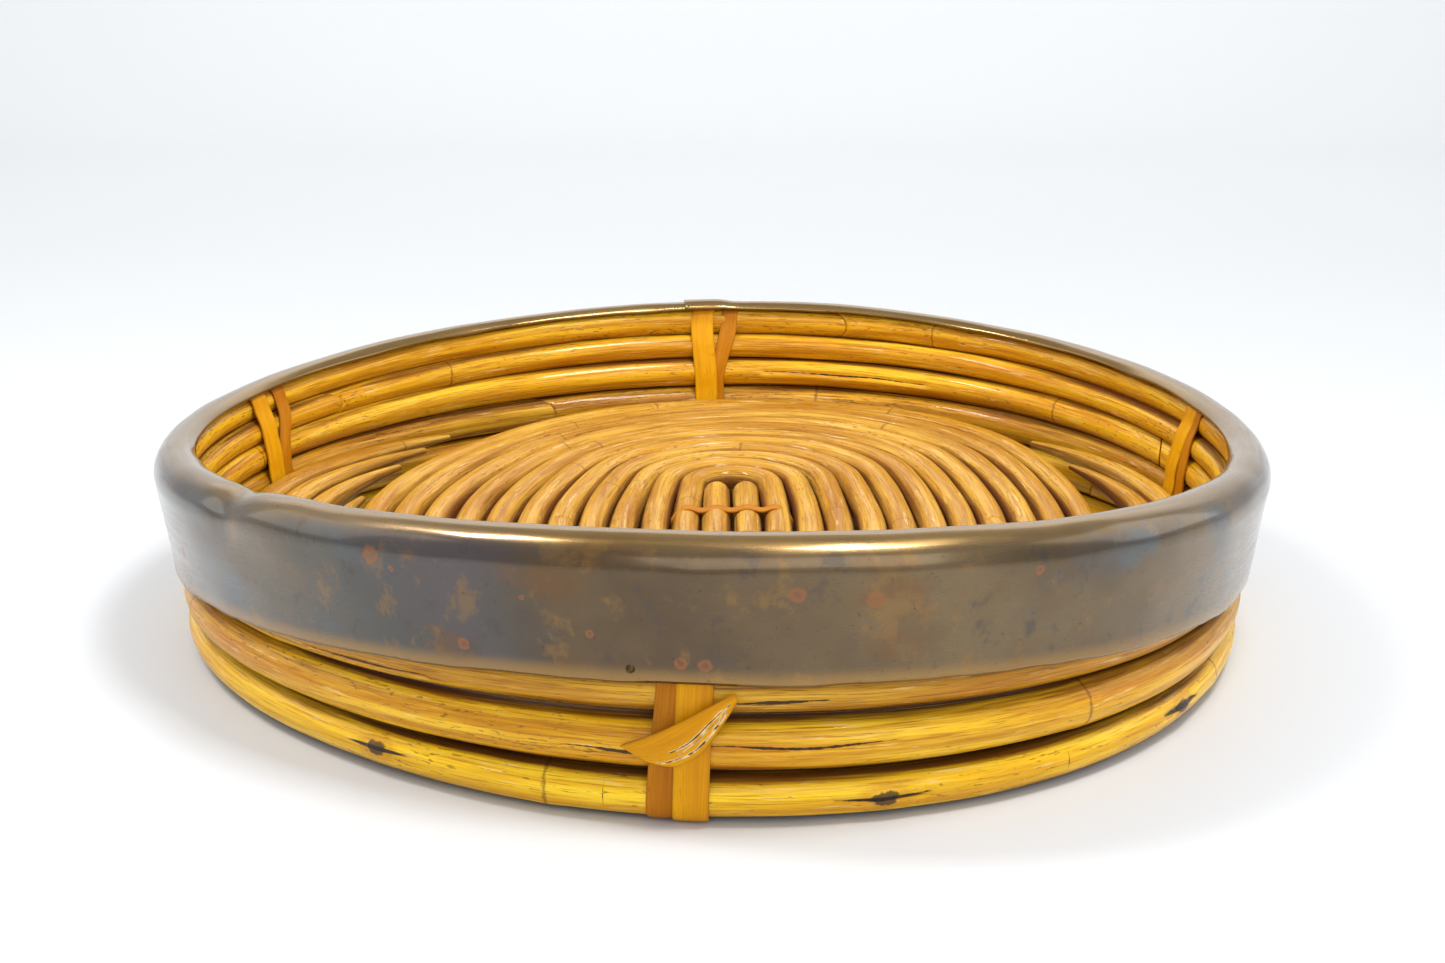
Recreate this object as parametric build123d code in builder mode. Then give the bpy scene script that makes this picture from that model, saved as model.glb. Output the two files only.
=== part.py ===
"""Round tray of coiled and stacked rattan poles with a folded brass rim.

The tray stands on Z = 0, its axis is Z and its front is -Y. Six pole hoops are stacked into the wall, a
hairpin coil with filler arcs makes the raised floor, four cane bindings tie the wall, and a sheet-brass
band is folded over the top hoop. Millimetres.
"""
from build123d import *
import math
import os

os.makedirs("parts", exist_ok=True)

# ---- driving dimensions -------------------------------------------------------------------------
RIM_RADIUS = 165.0          # widest radius of the brass band
HEIGHT = 64.5               # foot to the crest of the rim
CANE = 0.8                  # thickness of the split cane strands

# wall hoops from the foot up: radius of the pole, radius of the hoop, height of its centre
WALL_POLES = (
    (5.2, 153.4, 6.3),
    (6.0, 153.3, 17.5),
    (5.4, 153.4, 28.95),
    (4.9, 153.8, 39.3),
    (4.2, 154.9, 48.4),
    (5.0, 158.2, 57.15),
)

# brass band
BRASS = 0.6                 # sheet thickness
BAND_FOOT_RADIUS = 161.0    # outside of the band at its lower edge
BAND_FOOT_Z = 29.5
SHOULDER_RADIUS = 8.0       # outer rounding of the folded top
FOLD_RADIUS = 4.9           # inner rounding of the folded top
FOLD_CENTRE_RADIUS = 156.7  # radius of the circle that the fold's centre runs round
FOLD_TURN = 58.0            # degrees from the crest to the sheet's inner edge
LAP_ARC = 5.0               # degrees over which the sheet's two ends overlap, at the back
LAP_RISE = 22.0             # height of the overlap's outer end

# floor
FLOOR_POLE = 4.05           # radius of the floor poles
FLOOR_Z = 24.8              # height of their centres
FLOOR_REACH = 141.8         # outermost pole centre
SIDE_PITCH = 9.5            # coil pitch along its long sides
END_PITCH = 8.5             # coil pitch over its ends
CORE_X = 3.6                # the coil sits a little to the right
FIRST_TURN = 1.5            # turns of pitch from the core's middle to the first coiled pole
LAST_BACK_TURN = 11.5
END_ROUND = 0.9             # radius of an end arc over the coil's half width there
LEAN = 0.4                  # each turn's end arcs step this far to the right
CORE_LENGTH = 82.0
# where each length of coiled pole starts and stops, counted in arcs along the coil
COIL_LENGTHS = {
    "floor_coil_inner": (-1.2, 15.0),
    "floor_coil_middle": (15.0, 29.0),
    "floor_coil_outer": (29.0, 41.72),
}
# filler arcs along the wall: radius, first and last azimuth in degrees
LEFT_FILLERS = ((142.0, 133, 226), (133.2, 140, 219), (124.4, 149, 210), (115.6, 166, 195))
RIGHT_FILLERS = ((142.0, -42, 41), (133.2, -31, 29))

# lashings across the four poles in the middle of the floor
LASHING_WIDTH = 5.0
LASHING_PLACES = {"core_lashing_back": 7.0, "core_lashing_front": -20.0}

# bindings
BINDING_ANGLES = {"front": -92.4, "right": 12.5, "back": 90.0, "left": 163.0}
WIDE_WRAP = 8.4
NARROW_WRAP = 6.2
WRAP_STEP = 2.95            # degrees from the wide wrap round to the narrow one
# outside of a wrap, in a section through the wall: it runs round all six poles
WRAP_OUTLINE = (
    (146.4, 0.0),
    (160.3, 0.0),
    (160.3, 34.0),
    (164.0, 54.5),
    (164.0, 63.2),
    (152.2, 63.2),
    (152.2, 57.3),
    (146.4, 46.0),
)
WRAP_FOOT_FILLET = 5.0
WRAP_TOP_FILLET = 5.8
# the hitch strand that crosses both wraps, seen from outside: sideways and up
HITCH_RADIUS = 160.45
HITCH_OUTLINE = (
    (-13.2, 16.9),
    (-10.8, 11.4),
    (-7.3, 11.4),
    (8.0, 18.8),
    (13.2, 28.0),
    (11.5, 29.2),
    (4.9, 28.5),
)
# its two ends turn inwards between the poles: sideways, up and inner end
HITCH_TUCKS = ((-9.1, 11.8, 157.2), (10.1, 23.6, 156.9))
TUCK_WIDTH = 3.2

# nails and tacks
NAIL_RADIUS = 0.7
WALL_NAIL_ANGLES = (45.0, 135.0, 225.0, 315.0)
TIER_STEP = 11.0            # each tier of wall nails is turned this much on the one below
FLOOR_NAIL_ANGLES = (-75.0, -30.0, 0.0, 30.0, 75.0, 105.0, 150.0, 180.0, 210.0, 255.0)
FLOOR_NAIL_INNER = (140.5, 27.0)
FLOOR_NAIL_OUTER = (151.5, 19.0)
TACK_HEAD = 1.6             # radius
TACK_HEAD_HEIGHT = 0.5
TACK_LENGTH = 5.0
TACK_PLACES = ((92.5, 34.0, True), (92.5, 46.0, True), (-97.2, 33.0, False))   # azimuth, height, on the lap

# outward lean of the band for each millimetre that it rises
LAP_SLOPE = (RIM_RADIUS - BAND_FOOT_RADIUS) / (HEIGHT - SHOULDER_RADIUS - BAND_FOOT_Z)


def save(part, name):
    """Label one finished piece and write it."""
    part.label = name
    export_step(part, f"parts/{name}.step")


def meridian(angle):
    """Upright plane through the axis: its x runs outwards at this azimuth and its y runs up."""
    turn = math.radians(angle)
    outward = (math.cos(turn), math.sin(turn), 0)
    sideways = (math.sin(turn), -math.cos(turn), 0)
    return Plane(origin=(0, 0, 0), x_dir=outward, z_dir=sideways)


# ---- wall hoops ---------------------------------------------------------------------------------
for number, (pole_radius, hoop_radius, centre_z) in enumerate(WALL_POLES, start=1):
    with BuildPart() as wall_pole:
        with BuildSketch(Plane.XZ):
            with Locations((hoop_radius, centre_z)):
                Circle(pole_radius)
        revolve(axis=Axis.Z)
    save(wall_pole.part, f"wall_pole_{number}")

# ---- brass rim ----------------------------------------------------------------------------------
shoulder = (RIM_RADIUS - SHOULDER_RADIUS, HEIGHT - SHOULDER_RADIUS)
fold = (FOLD_CENTRE_RADIUS, HEIGHT - FOLD_RADIUS)


def band_surface(skin):
    """One face of the folded sheet, from its lower edge over the crest to its inner edge, this deep in."""
    Line((BAND_FOOT_RADIUS - skin, BAND_FOOT_Z), (RIM_RADIUS - skin, shoulder[1]))
    CenterArc(shoulder, SHOULDER_RADIUS - skin, 0, 90)
    Line((shoulder[0], HEIGHT - skin), (fold[0], HEIGHT - skin))
    CenterArc(fold, FOLD_RADIUS - skin, 90, FOLD_TURN)


def inner_edge(skin):
    """Where one face of the sheet ends inside the tray."""
    turn = math.radians(90 + FOLD_TURN)
    reach = FOLD_RADIUS - skin
    return fold[0] + reach * math.cos(turn), fold[1] + reach * math.sin(turn)


with BuildPart() as brass_rim:
    with BuildSketch(Plane.XZ):
        with BuildLine():
            band_surface(0.0)
            band_surface(BRASS)
            Line((BAND_FOOT_RADIUS, BAND_FOOT_Z), (BAND_FOOT_RADIUS - BRASS, BAND_FOOT_Z))
            Line(inner_edge(0.0), inner_edge(BRASS))
        make_face()
    revolve(axis=Axis.Z)
    # the two ends of the sheet overlap at the back, so a second thickness lies on the slanting band
    with BuildSketch(meridian(90.0)):
        with BuildLine():
            Polyline(
                (BAND_FOOT_RADIUS, BAND_FOOT_Z),
                (BAND_FOOT_RADIUS + BRASS, BAND_FOOT_Z),
                (BAND_FOOT_RADIUS + BRASS + LAP_RISE * LAP_SLOPE, BAND_FOOT_Z + LAP_RISE),
                (BAND_FOOT_RADIUS + LAP_RISE * LAP_SLOPE, BAND_FOOT_Z + LAP_RISE),
                close=True,
            )
        make_face()
    revolve(axis=Axis.Z, revolution_arc=LAP_ARC)
save(brass_rim.part, "brass_rim")


# ---- raised floor -------------------------------------------------------------------------------
CORE_Y = -END_PITCH / 4                                       # back and front ends reach equally far
END_BASE = FLOOR_REACH - CORE_Y - LAST_BACK_TURN * END_PITCH   # reach of a coil end at turn zero


def end_circle(step):
    """Centre and radius of one end arc. Even steps lie at the back, odd ones at the front."""
    turn = FIRST_TURN + step / 2
    radius = END_ROUND * SIDE_PITCH * turn
    reach = END_BASE + END_PITCH * turn - radius
    if step % 2 == 0:
        return Vector(CORE_X + LEAN * (turn - FIRST_TURN), CORE_Y + reach), radius
    return Vector(CORE_X - SIDE_PITCH / 2 + LEAN * (turn - FIRST_TURN), CORE_Y - reach), radius


def side_circle(step):
    """Circle that joins end arc `step` to the next one, touching both of them from outside."""
    near, near_radius = end_circle(step)
    far, far_radius = end_circle(step + 1)
    right = step % 2 == 0
    turn = FIRST_TURN + step / 2
    if right:
        edge = CORE_X + SIDE_PITCH * turn
    else:
        edge = CORE_X - SIDE_PITCH * (turn + 0.5)
    middle = (near + far) / 2
    mean_radius = (near_radius + far_radius) / 2
    half_span = (near - far).length / 2
    width = abs(edge - middle.X)
    radius = (half_span**2 + width**2 - mean_radius**2) / (2 * (width - mean_radius))
    # the centre is radius - near_radius from one end's centre and radius - far_radius from the other
    span = far - near
    along = ((radius - near_radius) ** 2 - (radius - far_radius) ** 2 + span.length**2) / (2 * span.length)
    across = math.sqrt((radius - near_radius) ** 2 - along**2)
    heading = span.normalized()
    inward = Vector(heading.Y, -heading.X)
    return near + heading * along + inward * across, radius


def heading(start, end):
    """Direction from one centre to another, in degrees."""
    return math.degrees(math.atan2(end.Y - start.Y, end.X - start.X))


def coil_arc(index):
    """Centre, radius, first heading and turn of one arc. Even arcs go round an end, odd ones along a side."""
    step = index // 2
    if index % 2:
        centre, radius = side_circle(step)
        first = heading(centre, end_circle(step)[0])
        last = heading(centre, end_circle(step + 1)[0])
    else:
        centre, radius = end_circle(step)
        first = heading(side_circle(step - 1)[0], centre)
        last = heading(side_circle(step)[0], centre)
    return centre, radius, first, -((first - last) % 360)


for name, (start, stop) in COIL_LENGTHS.items():
    with BuildPart() as floor_coil:
        with BuildLine(Plane.XY.offset(FLOOR_Z)) as run:
            for index in range(round(start), round(stop) + 1):
                centre, radius, first, turn = coil_arc(index)
                begin = max(start - index + 0.5, 0.0)
                finish = min(stop - index + 0.5, 1.0)
                if finish > begin:
                    CenterArc((centre.X, centre.Y), radius, first + turn * begin, turn * (finish - begin))
        path = run.wire()
        with BuildSketch(Plane(origin=path @ 0, z_dir=path % 0)):
            Circle(FLOOR_POLE)
        sweep(path=path)
    print(name, "is", round(path.length), "long; length times section", round(path.length * math.pi * FLOOR_POLE**2))
    save(floor_coil.part, name)

for name, sideways in (("core_bar_left", -SIDE_PITCH / 2), ("core_bar_right", SIDE_PITCH / 2)):
    with BuildPart() as core_bar:
        with BuildSketch(Plane.XZ.offset(-CORE_Y)):
            with Locations((CORE_X + sideways, FLOOR_Z)):
                Circle(FLOOR_POLE)
        extrude(amount=CORE_LENGTH / 2, both=True)
        fillet(core_bar.edges(), FLOOR_POLE / 3)
    save(core_bar.part, name)

for side, fillers in (("left", LEFT_FILLERS), ("right", RIGHT_FILLERS)):
    for number, (arc_radius, first, last) in enumerate(fillers, start=1):
        with BuildPart() as filler:
            with BuildSketch(meridian(first)):
                with Locations((arc_radius, FLOOR_Z)):
                    Circle(FLOOR_POLE)
            revolve(axis=Axis.Z, revolution_arc=last - first)
        save(filler.part, f"floor_filler_{side}_{number}")

lashing_width = 3 * SIDE_PITCH + 2 * (FLOOR_POLE + CANE)
lashing_height = 2 * (FLOOR_POLE + CANE)
for name, place in LASHING_PLACES.items():
    with BuildPart() as lashing:
        with BuildSketch(Plane.XZ.offset(-place)):
            with Locations((CORE_X, FLOOR_Z)):
                RectangleRounded(lashing_width, lashing_height, FLOOR_POLE)
                offset(amount=-CANE, mode=Mode.SUBTRACT)
        extrude(amount=LASHING_WIDTH / 2, both=True)
    save(lashing.part, name)

# ---- cane bindings ------------------------------------------------------------------------------


def inset(outline, skin):
    """Corners of an anticlockwise outline moved in by a skin's thickness."""
    moved = []
    for before, corner, after in zip(outline[-1:] + outline[:-1], outline, outline[1:] + outline[:1]):
        arrive = Vector(*corner) - Vector(*before)
        leave = Vector(*after) - Vector(*corner)
        inward = Vector(-arrive.Y, arrive.X).normalized() + Vector(-leave.Y, leave.X).normalized()
        step = inward * (2 * skin / inward.dot(inward))
        moved.append((corner[0] + step.X, corner[1] + step.Y))
    return moved


def wrap(angle, width):
    """One flat strand tied round the whole wall."""
    with BuildPart() as strand:
        for skin, mode in ((0, Mode.ADD), (CANE, Mode.SUBTRACT)):
            with BuildSketch(meridian(angle).offset(-width / 2)) as section:
                with BuildLine():
                    Polyline(*inset(WRAP_OUTLINE, skin), close=True)
                make_face()
                fillet(section.vertices().sort_by(Axis.Y)[:2], WRAP_FOOT_FILLET - skin)
                fillet(section.vertices().sort_by(Axis.Y)[-2:], WRAP_TOP_FILLET - skin)
            extrude(amount=width, mode=mode)
    return strand.part


def hitch(angle):
    """The slanting strand that locks a binding, with both ends tucked in between the poles."""
    turn = math.radians(angle)
    outward = Vector(math.cos(turn), math.sin(turn), 0)
    sideways = Vector(-math.sin(turn), math.cos(turn), 0)
    face = Plane(origin=outward * HITCH_RADIUS, x_dir=sideways, z_dir=outward)
    with BuildPart() as strand:
        with BuildSketch(face):
            Polygon(*HITCH_OUTLINE, align=None)
        extrude(amount=CANE)
        for across, up, inner_end in HITCH_TUCKS:
            with BuildSketch(face.offset(CANE)):
                with Locations((across, up)):
                    Rectangle(TUCK_WIDTH, CANE)
            extrude(amount=inner_end - HITCH_RADIUS - CANE)
    return strand.part


for place, angle in BINDING_ANGLES.items():
    save(wrap(angle, WIDE_WRAP), f"binding_{place}_wide_wrap")
    save(wrap(angle - WRAP_STEP, NARROW_WRAP), f"binding_{place}_narrow_wrap")
    save(hitch(angle - WRAP_STEP / 2), f"binding_{place}_hitch")

# ---- nails and tacks ----------------------------------------------------------------------------
with BuildPart() as wall_nails:
    for tier in range(len(WALL_POLES) - 1):
        lower, upper = WALL_POLES[tier], WALL_POLES[tier + 1]
        for angle in WALL_NAIL_ANGLES:
            with BuildSketch(meridian(angle + tier * TIER_STEP)):
                with BuildLine():
                    Polyline(
                        (lower[1] - NAIL_RADIUS, lower[2]),
                        (lower[1] + NAIL_RADIUS, lower[2]),
                        (upper[1] + NAIL_RADIUS, upper[2]),
                        (upper[1] - NAIL_RADIUS, upper[2]),
                        close=True,
                    )
                make_face()
            extrude(amount=NAIL_RADIUS, both=True)
save(wall_nails.part, "wall_nails")

floor_nail_run = Vector(*FLOOR_NAIL_OUTER) - Vector(*FLOOR_NAIL_INNER)
with BuildPart() as floor_nails:
    for angle in FLOOR_NAIL_ANGLES:
        upright = meridian(angle)
        head = upright.from_local_coords(Vector(*FLOOR_NAIL_INNER))
        tip = upright.from_local_coords(Vector(*FLOOR_NAIL_OUTER))
        with BuildSketch(Plane(origin=head, z_dir=tip - head)):
            Circle(NAIL_RADIUS)
        extrude(amount=floor_nail_run.length)
save(floor_nails.part, "floor_nails")

with BuildPart() as rim_tacks:
    for angle, height, on_lap in TACK_PLACES:
        band_radius = BAND_FOOT_RADIUS + LAP_SLOPE * (height - BAND_FOOT_Z)
        if on_lap:
            band_radius += BRASS
        upright = meridian(angle)
        head = upright.from_local_coords(Vector(band_radius, height))
        tip = upright.from_local_coords(Vector(band_radius - TACK_LENGTH, height))
        with BuildSketch(Plane(origin=head, z_dir=tip - head)):
            Circle(NAIL_RADIUS)
        extrude(amount=TACK_LENGTH)
        with BuildSketch(Plane(origin=head, z_dir=head - tip)):
            Circle(TACK_HEAD)
        extrude(amount=TACK_HEAD_HEIGHT)
save(rim_tacks.part, "rim_tacks")
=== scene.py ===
# %% [markdown]
# # A coiled rattan tray with a folded brass rim
# The tray is a wall of six stacked rattan hoops, a raised floor coiled from thinner poles, four cane
# bindings that tie the wall, and a sheet-brass band folded over the top hoop. The CAD model already gives
# every piece its place and size, so we load it first and read its bounds.

import math

import bmesh
import bpy
from mathutils import Matrix, Vector, noise


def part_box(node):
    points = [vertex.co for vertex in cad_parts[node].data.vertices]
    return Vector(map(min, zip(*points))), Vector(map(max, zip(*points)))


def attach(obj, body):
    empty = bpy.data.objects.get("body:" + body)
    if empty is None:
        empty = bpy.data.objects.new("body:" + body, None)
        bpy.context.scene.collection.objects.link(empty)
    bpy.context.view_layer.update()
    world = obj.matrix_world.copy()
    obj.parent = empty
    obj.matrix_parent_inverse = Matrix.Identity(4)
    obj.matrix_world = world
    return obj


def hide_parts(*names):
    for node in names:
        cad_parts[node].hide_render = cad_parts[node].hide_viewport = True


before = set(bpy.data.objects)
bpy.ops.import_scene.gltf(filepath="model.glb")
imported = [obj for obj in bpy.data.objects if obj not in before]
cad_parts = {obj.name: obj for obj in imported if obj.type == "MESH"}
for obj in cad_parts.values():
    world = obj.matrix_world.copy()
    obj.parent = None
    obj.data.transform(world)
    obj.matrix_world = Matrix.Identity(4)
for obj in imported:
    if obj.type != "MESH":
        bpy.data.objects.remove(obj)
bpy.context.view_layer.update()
MM = 0.001

# %% [markdown]
# ## Rattan as a straight pole that is bent later
# Real rattan grows as a straight pole with rings where leaves grew, and it is steamed and bent afterwards.
# We could sweep a circle along each curve, but then the grain has nothing to follow. Instead every pole is
# made straight, given its swellings and scars, and only then bent. Each vertex remembers where it lay on the
# straight pole, so the material can run its fibres along the pole however it turns.


# %% A straight pole
def straight_pole(length, radius, sides, ring_gap, rounding):
    """A pole along X from 0 to length, with eased ends, cut across into many rings."""
    pole = bmesh.new()
    lay_down = Matrix.Translation((length / 2, 0, 0)) @ Matrix.Rotation(math.pi / 2, 4, "Y")
    bmesh.ops.create_cone(
        pole, cap_ends=True, segments=sides, radius1=radius, radius2=radius, depth=length, matrix=lay_down
    )
    end_edges = [edge for edge in pole.edges if abs(edge.verts[0].co.x - edge.verts[1].co.x) < radius]
    bmesh.ops.bevel(
        pole,
        geom=end_edges,
        offset=rounding,
        offset_type="OFFSET",
        segments=2,
        profile=0.5,
        affect="EDGES",
        material=-1,
    )
    long_edges = [edge for edge in pole.edges if edge.calc_length() > length / 2]
    cuts = max(3, round(length / ring_gap)) - 1
    bmesh.ops.subdivide_edges(pole, edges=long_edges, cuts=cuts, use_grid_fill=True)
    return pole


# %% [markdown]
# ## What makes a pole look grown
# No two lengths of rattan are equally thick, and none is quite round. Slow noise changes the thickness, a
# bulge sits at each leaf ring, and side shoots leave knots. Fine marks are too small for the mesh, so each
# vertex stores its distance to the nearest ring, knot and crack, and the material draws them from that.

# %% Marks on a pole
FAR = 1.0                              # a distance in metres that no mark reaches
SWELLS = ((0.035, 50 * MM), (0.02, 14 * MM))   # share of the radius and wavelength along the pole
RING_SWELL, RING_REACH = 0.028, 4.0 * MM
KNOT_SWELL, KNOT_REACH = 0.5 * MM, (5 * MM, 3 * MM)
CRACK_DEPTH, CRACK_REACH = 0.7 * MM, 0.8 * MM
CRACK_WANDER, CRACK_WAVE = 0.9 * MM, 20 * MM
CRACK_TAIL = -0.3                      # how far past its ends a crack's place is still stored


def nearest(values, here):
    """The signed distance from the closest of these values, or a far one."""
    gaps = [here - value for value in values]
    return min(gaps, key=abs) if gaps else FAR


def nearest_knot(knots, along, angle, radius):
    """How far the closest knot is, along the pole and round it. Knots are (distance, angle)."""
    closest = (FAR, FAR)
    for knot_along, knot_angle in knots:
        offset = (along - knot_along, math.remainder(angle - knot_angle, math.tau) * radius)
        if math.hypot(*offset) < math.hypot(*closest):
            closest = offset
    return closest


def nearest_crack(cracks, along, angle, radius, seed):
    """Distance round to the closest crack, and its half width. Cracks are (start, stop, angle, widest)."""
    gap, half_width = FAR, 0.0
    for start, stop, crack_angle, widest in cracks:
        inside = 1 - abs(along - 0.5 * (start + stop)) / (0.5 * (stop - start))
        wander = CRACK_WANDER * noise.noise((along / CRACK_WAVE, seed, 7.0)) / radius
        turn = math.remainder(angle - crack_angle - wander, math.tau)
        if inside > CRACK_TAIL and abs(turn) * radius < abs(gap):
            gap = turn * radius
            half_width = widest * inside
    return gap, half_width


# %% Growing a pole
OUT_WANDER, OUT_WAVE = 0.3 * MM, 70 * MM
UP_WANDER, UP_WAVE = 0.22 * MM, 60 * MM
CUT_REACH = 30 * MM
TAPERED_END = 0.25


def grow(
    pole, radius, seed, recess_axis, rings=(), knots=(), cracks=(),
    unevenness=1.0, slope=0.0, length=0.0, taper=0.0, fullness=1.0,
):
    """Turn a true cylinder into grown rattan. The recess axis is 0 across or 1 up, where neighbours touch.
    Slope slants the cut ends, and taper thins both ends over that distance."""
    lay = pole.verts.layers.float_vector.new("lay")
    scar = pole.verts.layers.float_vector.new("scar")
    knot_place = pole.verts.layers.float_vector.new("knot")
    recess = pole.verts.layers.float.new("recess")
    (slow, slow_wave), (quick, quick_wave) = SWELLS
    for vertex in pole.verts:
        along, across, up = vertex.co
        angle = math.atan2(up, across)
        to_end = min(along, length - along)
        ring = nearest(rings, along)
        knot = nearest_knot(knots, along, angle, radius)
        gap, half_width = nearest_crack(cracks, along, angle, radius, seed)
        vertex[lay] = (along + seed * 0.37, across, up)
        vertex[recess] = abs((across, up)[recess_axis]) / radius
        vertex[knot_place] = (*knot, 0)
        vertex[scar] = (ring, gap, half_width)
        scale = fullness + unevenness * slow * noise.noise((along / slow_wave, seed, 0.5))
        scale += unevenness * quick * noise.noise((along / quick_wave, seed + across / radius, up / radius))
        scale += RING_SWELL * math.exp(-((ring / RING_REACH) ** 2))
        lump = KNOT_SWELL * math.exp(-((knot[0] / KNOT_REACH[0]) ** 2) - (knot[1] / KNOT_REACH[1]) ** 2)
        sink = CRACK_DEPTH * math.exp(-((gap / CRACK_REACH) ** 2)) if half_width > 0 else 0.0
        scale += (lump - sink) / radius
        if taper:
            share = min(1.0, max(0.0, to_end / taper))
            scale *= TAPERED_END + (1 - TAPERED_END) * share * (2 - share)
        out = unevenness * OUT_WANDER * noise.noise((along / OUT_WAVE, seed, 3.0))
        rise = unevenness * UP_WANDER * noise.noise((along / UP_WAVE, seed, 11.0))
        slant = slope * across * max(0.0, 1 - to_end / CUT_REACH) if slope else 0.0
        vertex.co = (along + slant, across * scale + out, up * scale + rise)


# %% [markdown]
# ## Bending
# A path is a list of arcs that touch end to end. Walking a distance along it gives a point and the direction
# that faces out of the bend, which is where the pole's own "across" goes. The tray is also not true any
# more: the rim has sagged at the sides, risen in front, and been knocked out of round. The same settling
# moves every piece, so they stay together.

# %% Paths
def arc_path(arcs):
    """The way along these arcs, as distance to (point, outward), and its length.
    Each arc is (centre x, centre y, radius, first heading, turn)."""
    lengths = [abs(turn) * radius for _, _, radius, _, turn in arcs]

    def at(distance):
        for (x, y, radius, first, turn), size in zip(arcs, lengths):
            if distance <= size or (x, y, radius, first, turn) == arcs[-1]:
                break
            distance -= size
        heading = first + turn * distance / size
        outward = Vector((math.cos(heading), math.sin(heading), 0))
        return Vector((x, y, 0)) + outward * radius, outward

    return at, sum(lengths)


def bend(pole, path, height):
    """Lay a straight pole along a path at this height."""
    for vertex in pole.verts:
        along, across, up = vertex.co
        point, outward = path(along)
        vertex.co = point + outward * across + Vector((0, 0, height + up))


# %% How the tray has settled
# height on the true tray, then the rise in front, at the back and at the sides, all in millimetres
SETTLING = (
    (0.0, 0.0, 0.0, 0.0),
    (6.3, 0.2, 0.0, -0.3),
    (17.5, 2.2, 0.5, -1.2),
    (28.95, 4.3, 1.1, -2.5),
    (39.3, 5.3, 1.8, -3.9),
    (48.4, 6.1, 2.3, -5.2),
    (57.0, 7.0, 2.6, -6.4),
    (70.0, 7.0, 2.6, -6.4),
)
FLOOR_RISES = (2.0 * MM, 3.6 * MM, 0.9 * MM)          # front, back and sides of the floor
RIM_LEVEL = 57.0                                      # millimetres: the brass moves as one piece
ROUNDNESS = ((2, 0.002, 0.001), (3, -0.017, 0.017))   # waves round the tray: count, cosine and sine share
STILL_REACH, MOVING_SPAN = 40 * MM, 105 * MM          # the middle keeps its place, the wall moves in full
FOOT_LIFT = 0.22 * MM                                 # keeps the crowned straps above the table


def ease(share):
    """Zero to one with a soft start and end."""
    return share * share * (3 - 2 * share)


def settled_rise(height):
    """Front, back and side rise at this height on the true tray, in metres."""
    level = height / MM
    for low, high in zip(SETTLING, SETTLING[1:]):
        if level <= high[0]:
            share = max(0.0, (level - low[0]) / (high[0] - low[0]))
            return [MM * (a + (b - a) * share) for a, b in zip(low[1:], high[1:])]
    return [MM * value for value in SETTLING[-1][1:]]


def settle(shape, level=None, rises=None):
    """Sag, lift and squeeze a piece with the rest of the tray.
    A level in millimetres makes it follow that height, and rises give its own front, back and side rise."""
    fixed = settled_rise(level * MM) if level is not None else rises
    for vertex in shape.verts:
        x, y, z = vertex.co
        angle = math.atan2(y, x)
        front, back, side = fixed or settled_rise(z)
        ends = 0.5 * (front + back)
        rise = 0.5 * (ends + side)
        rise += 0.5 * (back - front) * math.sin(angle)
        rise += 0.5 * (side - ends) * math.cos(2 * angle)
        share = ease(min(1.0, max(0.0, (math.hypot(x, y) - STILL_REACH) / MOVING_SPAN)))
        squeeze = sum(c * math.cos(n * angle) + s * math.sin(n * angle) for n, c, s in ROUNDNESS)
        out = 1 + squeeze * share
        vertex.co = (x * out, y * out, z + FOOT_LIFT + (rise * share if rises else rise))


# %% Finishing a piece
def finish_piece(name, shape, material, node, modifiers=()):
    """Make the mesh an object that stands for its CAD node."""
    mesh = bpy.data.meshes.new(name)
    shape.to_mesh(mesh)
    shape.free()
    for face in mesh.polygons:
        face.use_smooth = True
    mesh.materials.append(material)
    piece = bpy.data.objects.new(name, mesh)
    bpy.context.scene.collection.objects.link(piece)
    for kind, settings in modifiers:
        modifier = piece.modifiers.new(kind.title(), kind)
        for key, value in settings.items():
            setattr(modifier, key, value)
    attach(piece, "root")
    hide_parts(node)
    print(name, len(mesh.vertices), "vertices")


# %% [markdown]
# ## Small node helpers
# Materials are easier to read when one line adds one layer. `add` makes a node, sets its options and joins
# or fills its sockets. The others wrap the few nodes that every finish here is made from: a soft step, a
# mix of two colours, stretched noise, and a sum of masks that is turned into relief.


# %% Node helpers
def add(tree, kind, sockets=(), **options):
    """Add a shader node. Sockets is a list of (name or number, value or output)."""
    node = tree.nodes.new(kind)
    for key, value in options.items():
        setattr(node, key, value)
    for key, value in sockets:
        if isinstance(value, bpy.types.NodeSocket):
            tree.links.new(value, node.inputs[key])
        else:
            node.inputs[key].default_value = value
    return node


def calc(tree, operation, a, b=0.0, clamp=False):
    """One Math node's value."""
    return add(tree, "ShaderNodeMath", [(0, a), (1, b)], operation=operation, use_clamp=clamp).outputs[0]


def inverse(tree, value):
    """One minus a value."""
    return calc(tree, "SUBTRACT", 1.0, value)


def fade(tree, value, low, high, to_low=0.0, to_high=1.0):
    """A smooth step of a value."""
    sockets = [("Value", value), ("From Min", low), ("From Max", high)]
    sockets += [("To Min", to_low), ("To Max", to_high)]
    return add(tree, "ShaderNodeMapRange", sockets, interpolation_type="SMOOTHSTEP").outputs[0]


def blend(tree, share, a, b):
    """Mix two colours."""
    return add(tree, "ShaderNodeMix", [(0, share), (6, a), (7, b)], data_type="RGBA").outputs[2]


def shade(tree, colour, mask, strength, over):
    """Lay a second colour over the first where the mask is, at this strength."""
    return blend(tree, calc(tree, "MULTIPLY", mask, strength), colour, over)


def stretch(tree, vector, scale):
    """A vector with each axis scaled on its own."""
    return add(tree, "ShaderNodeVectorMath", [(0, vector), (1, scale)], operation="MULTIPLY").outputs[0]


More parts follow.
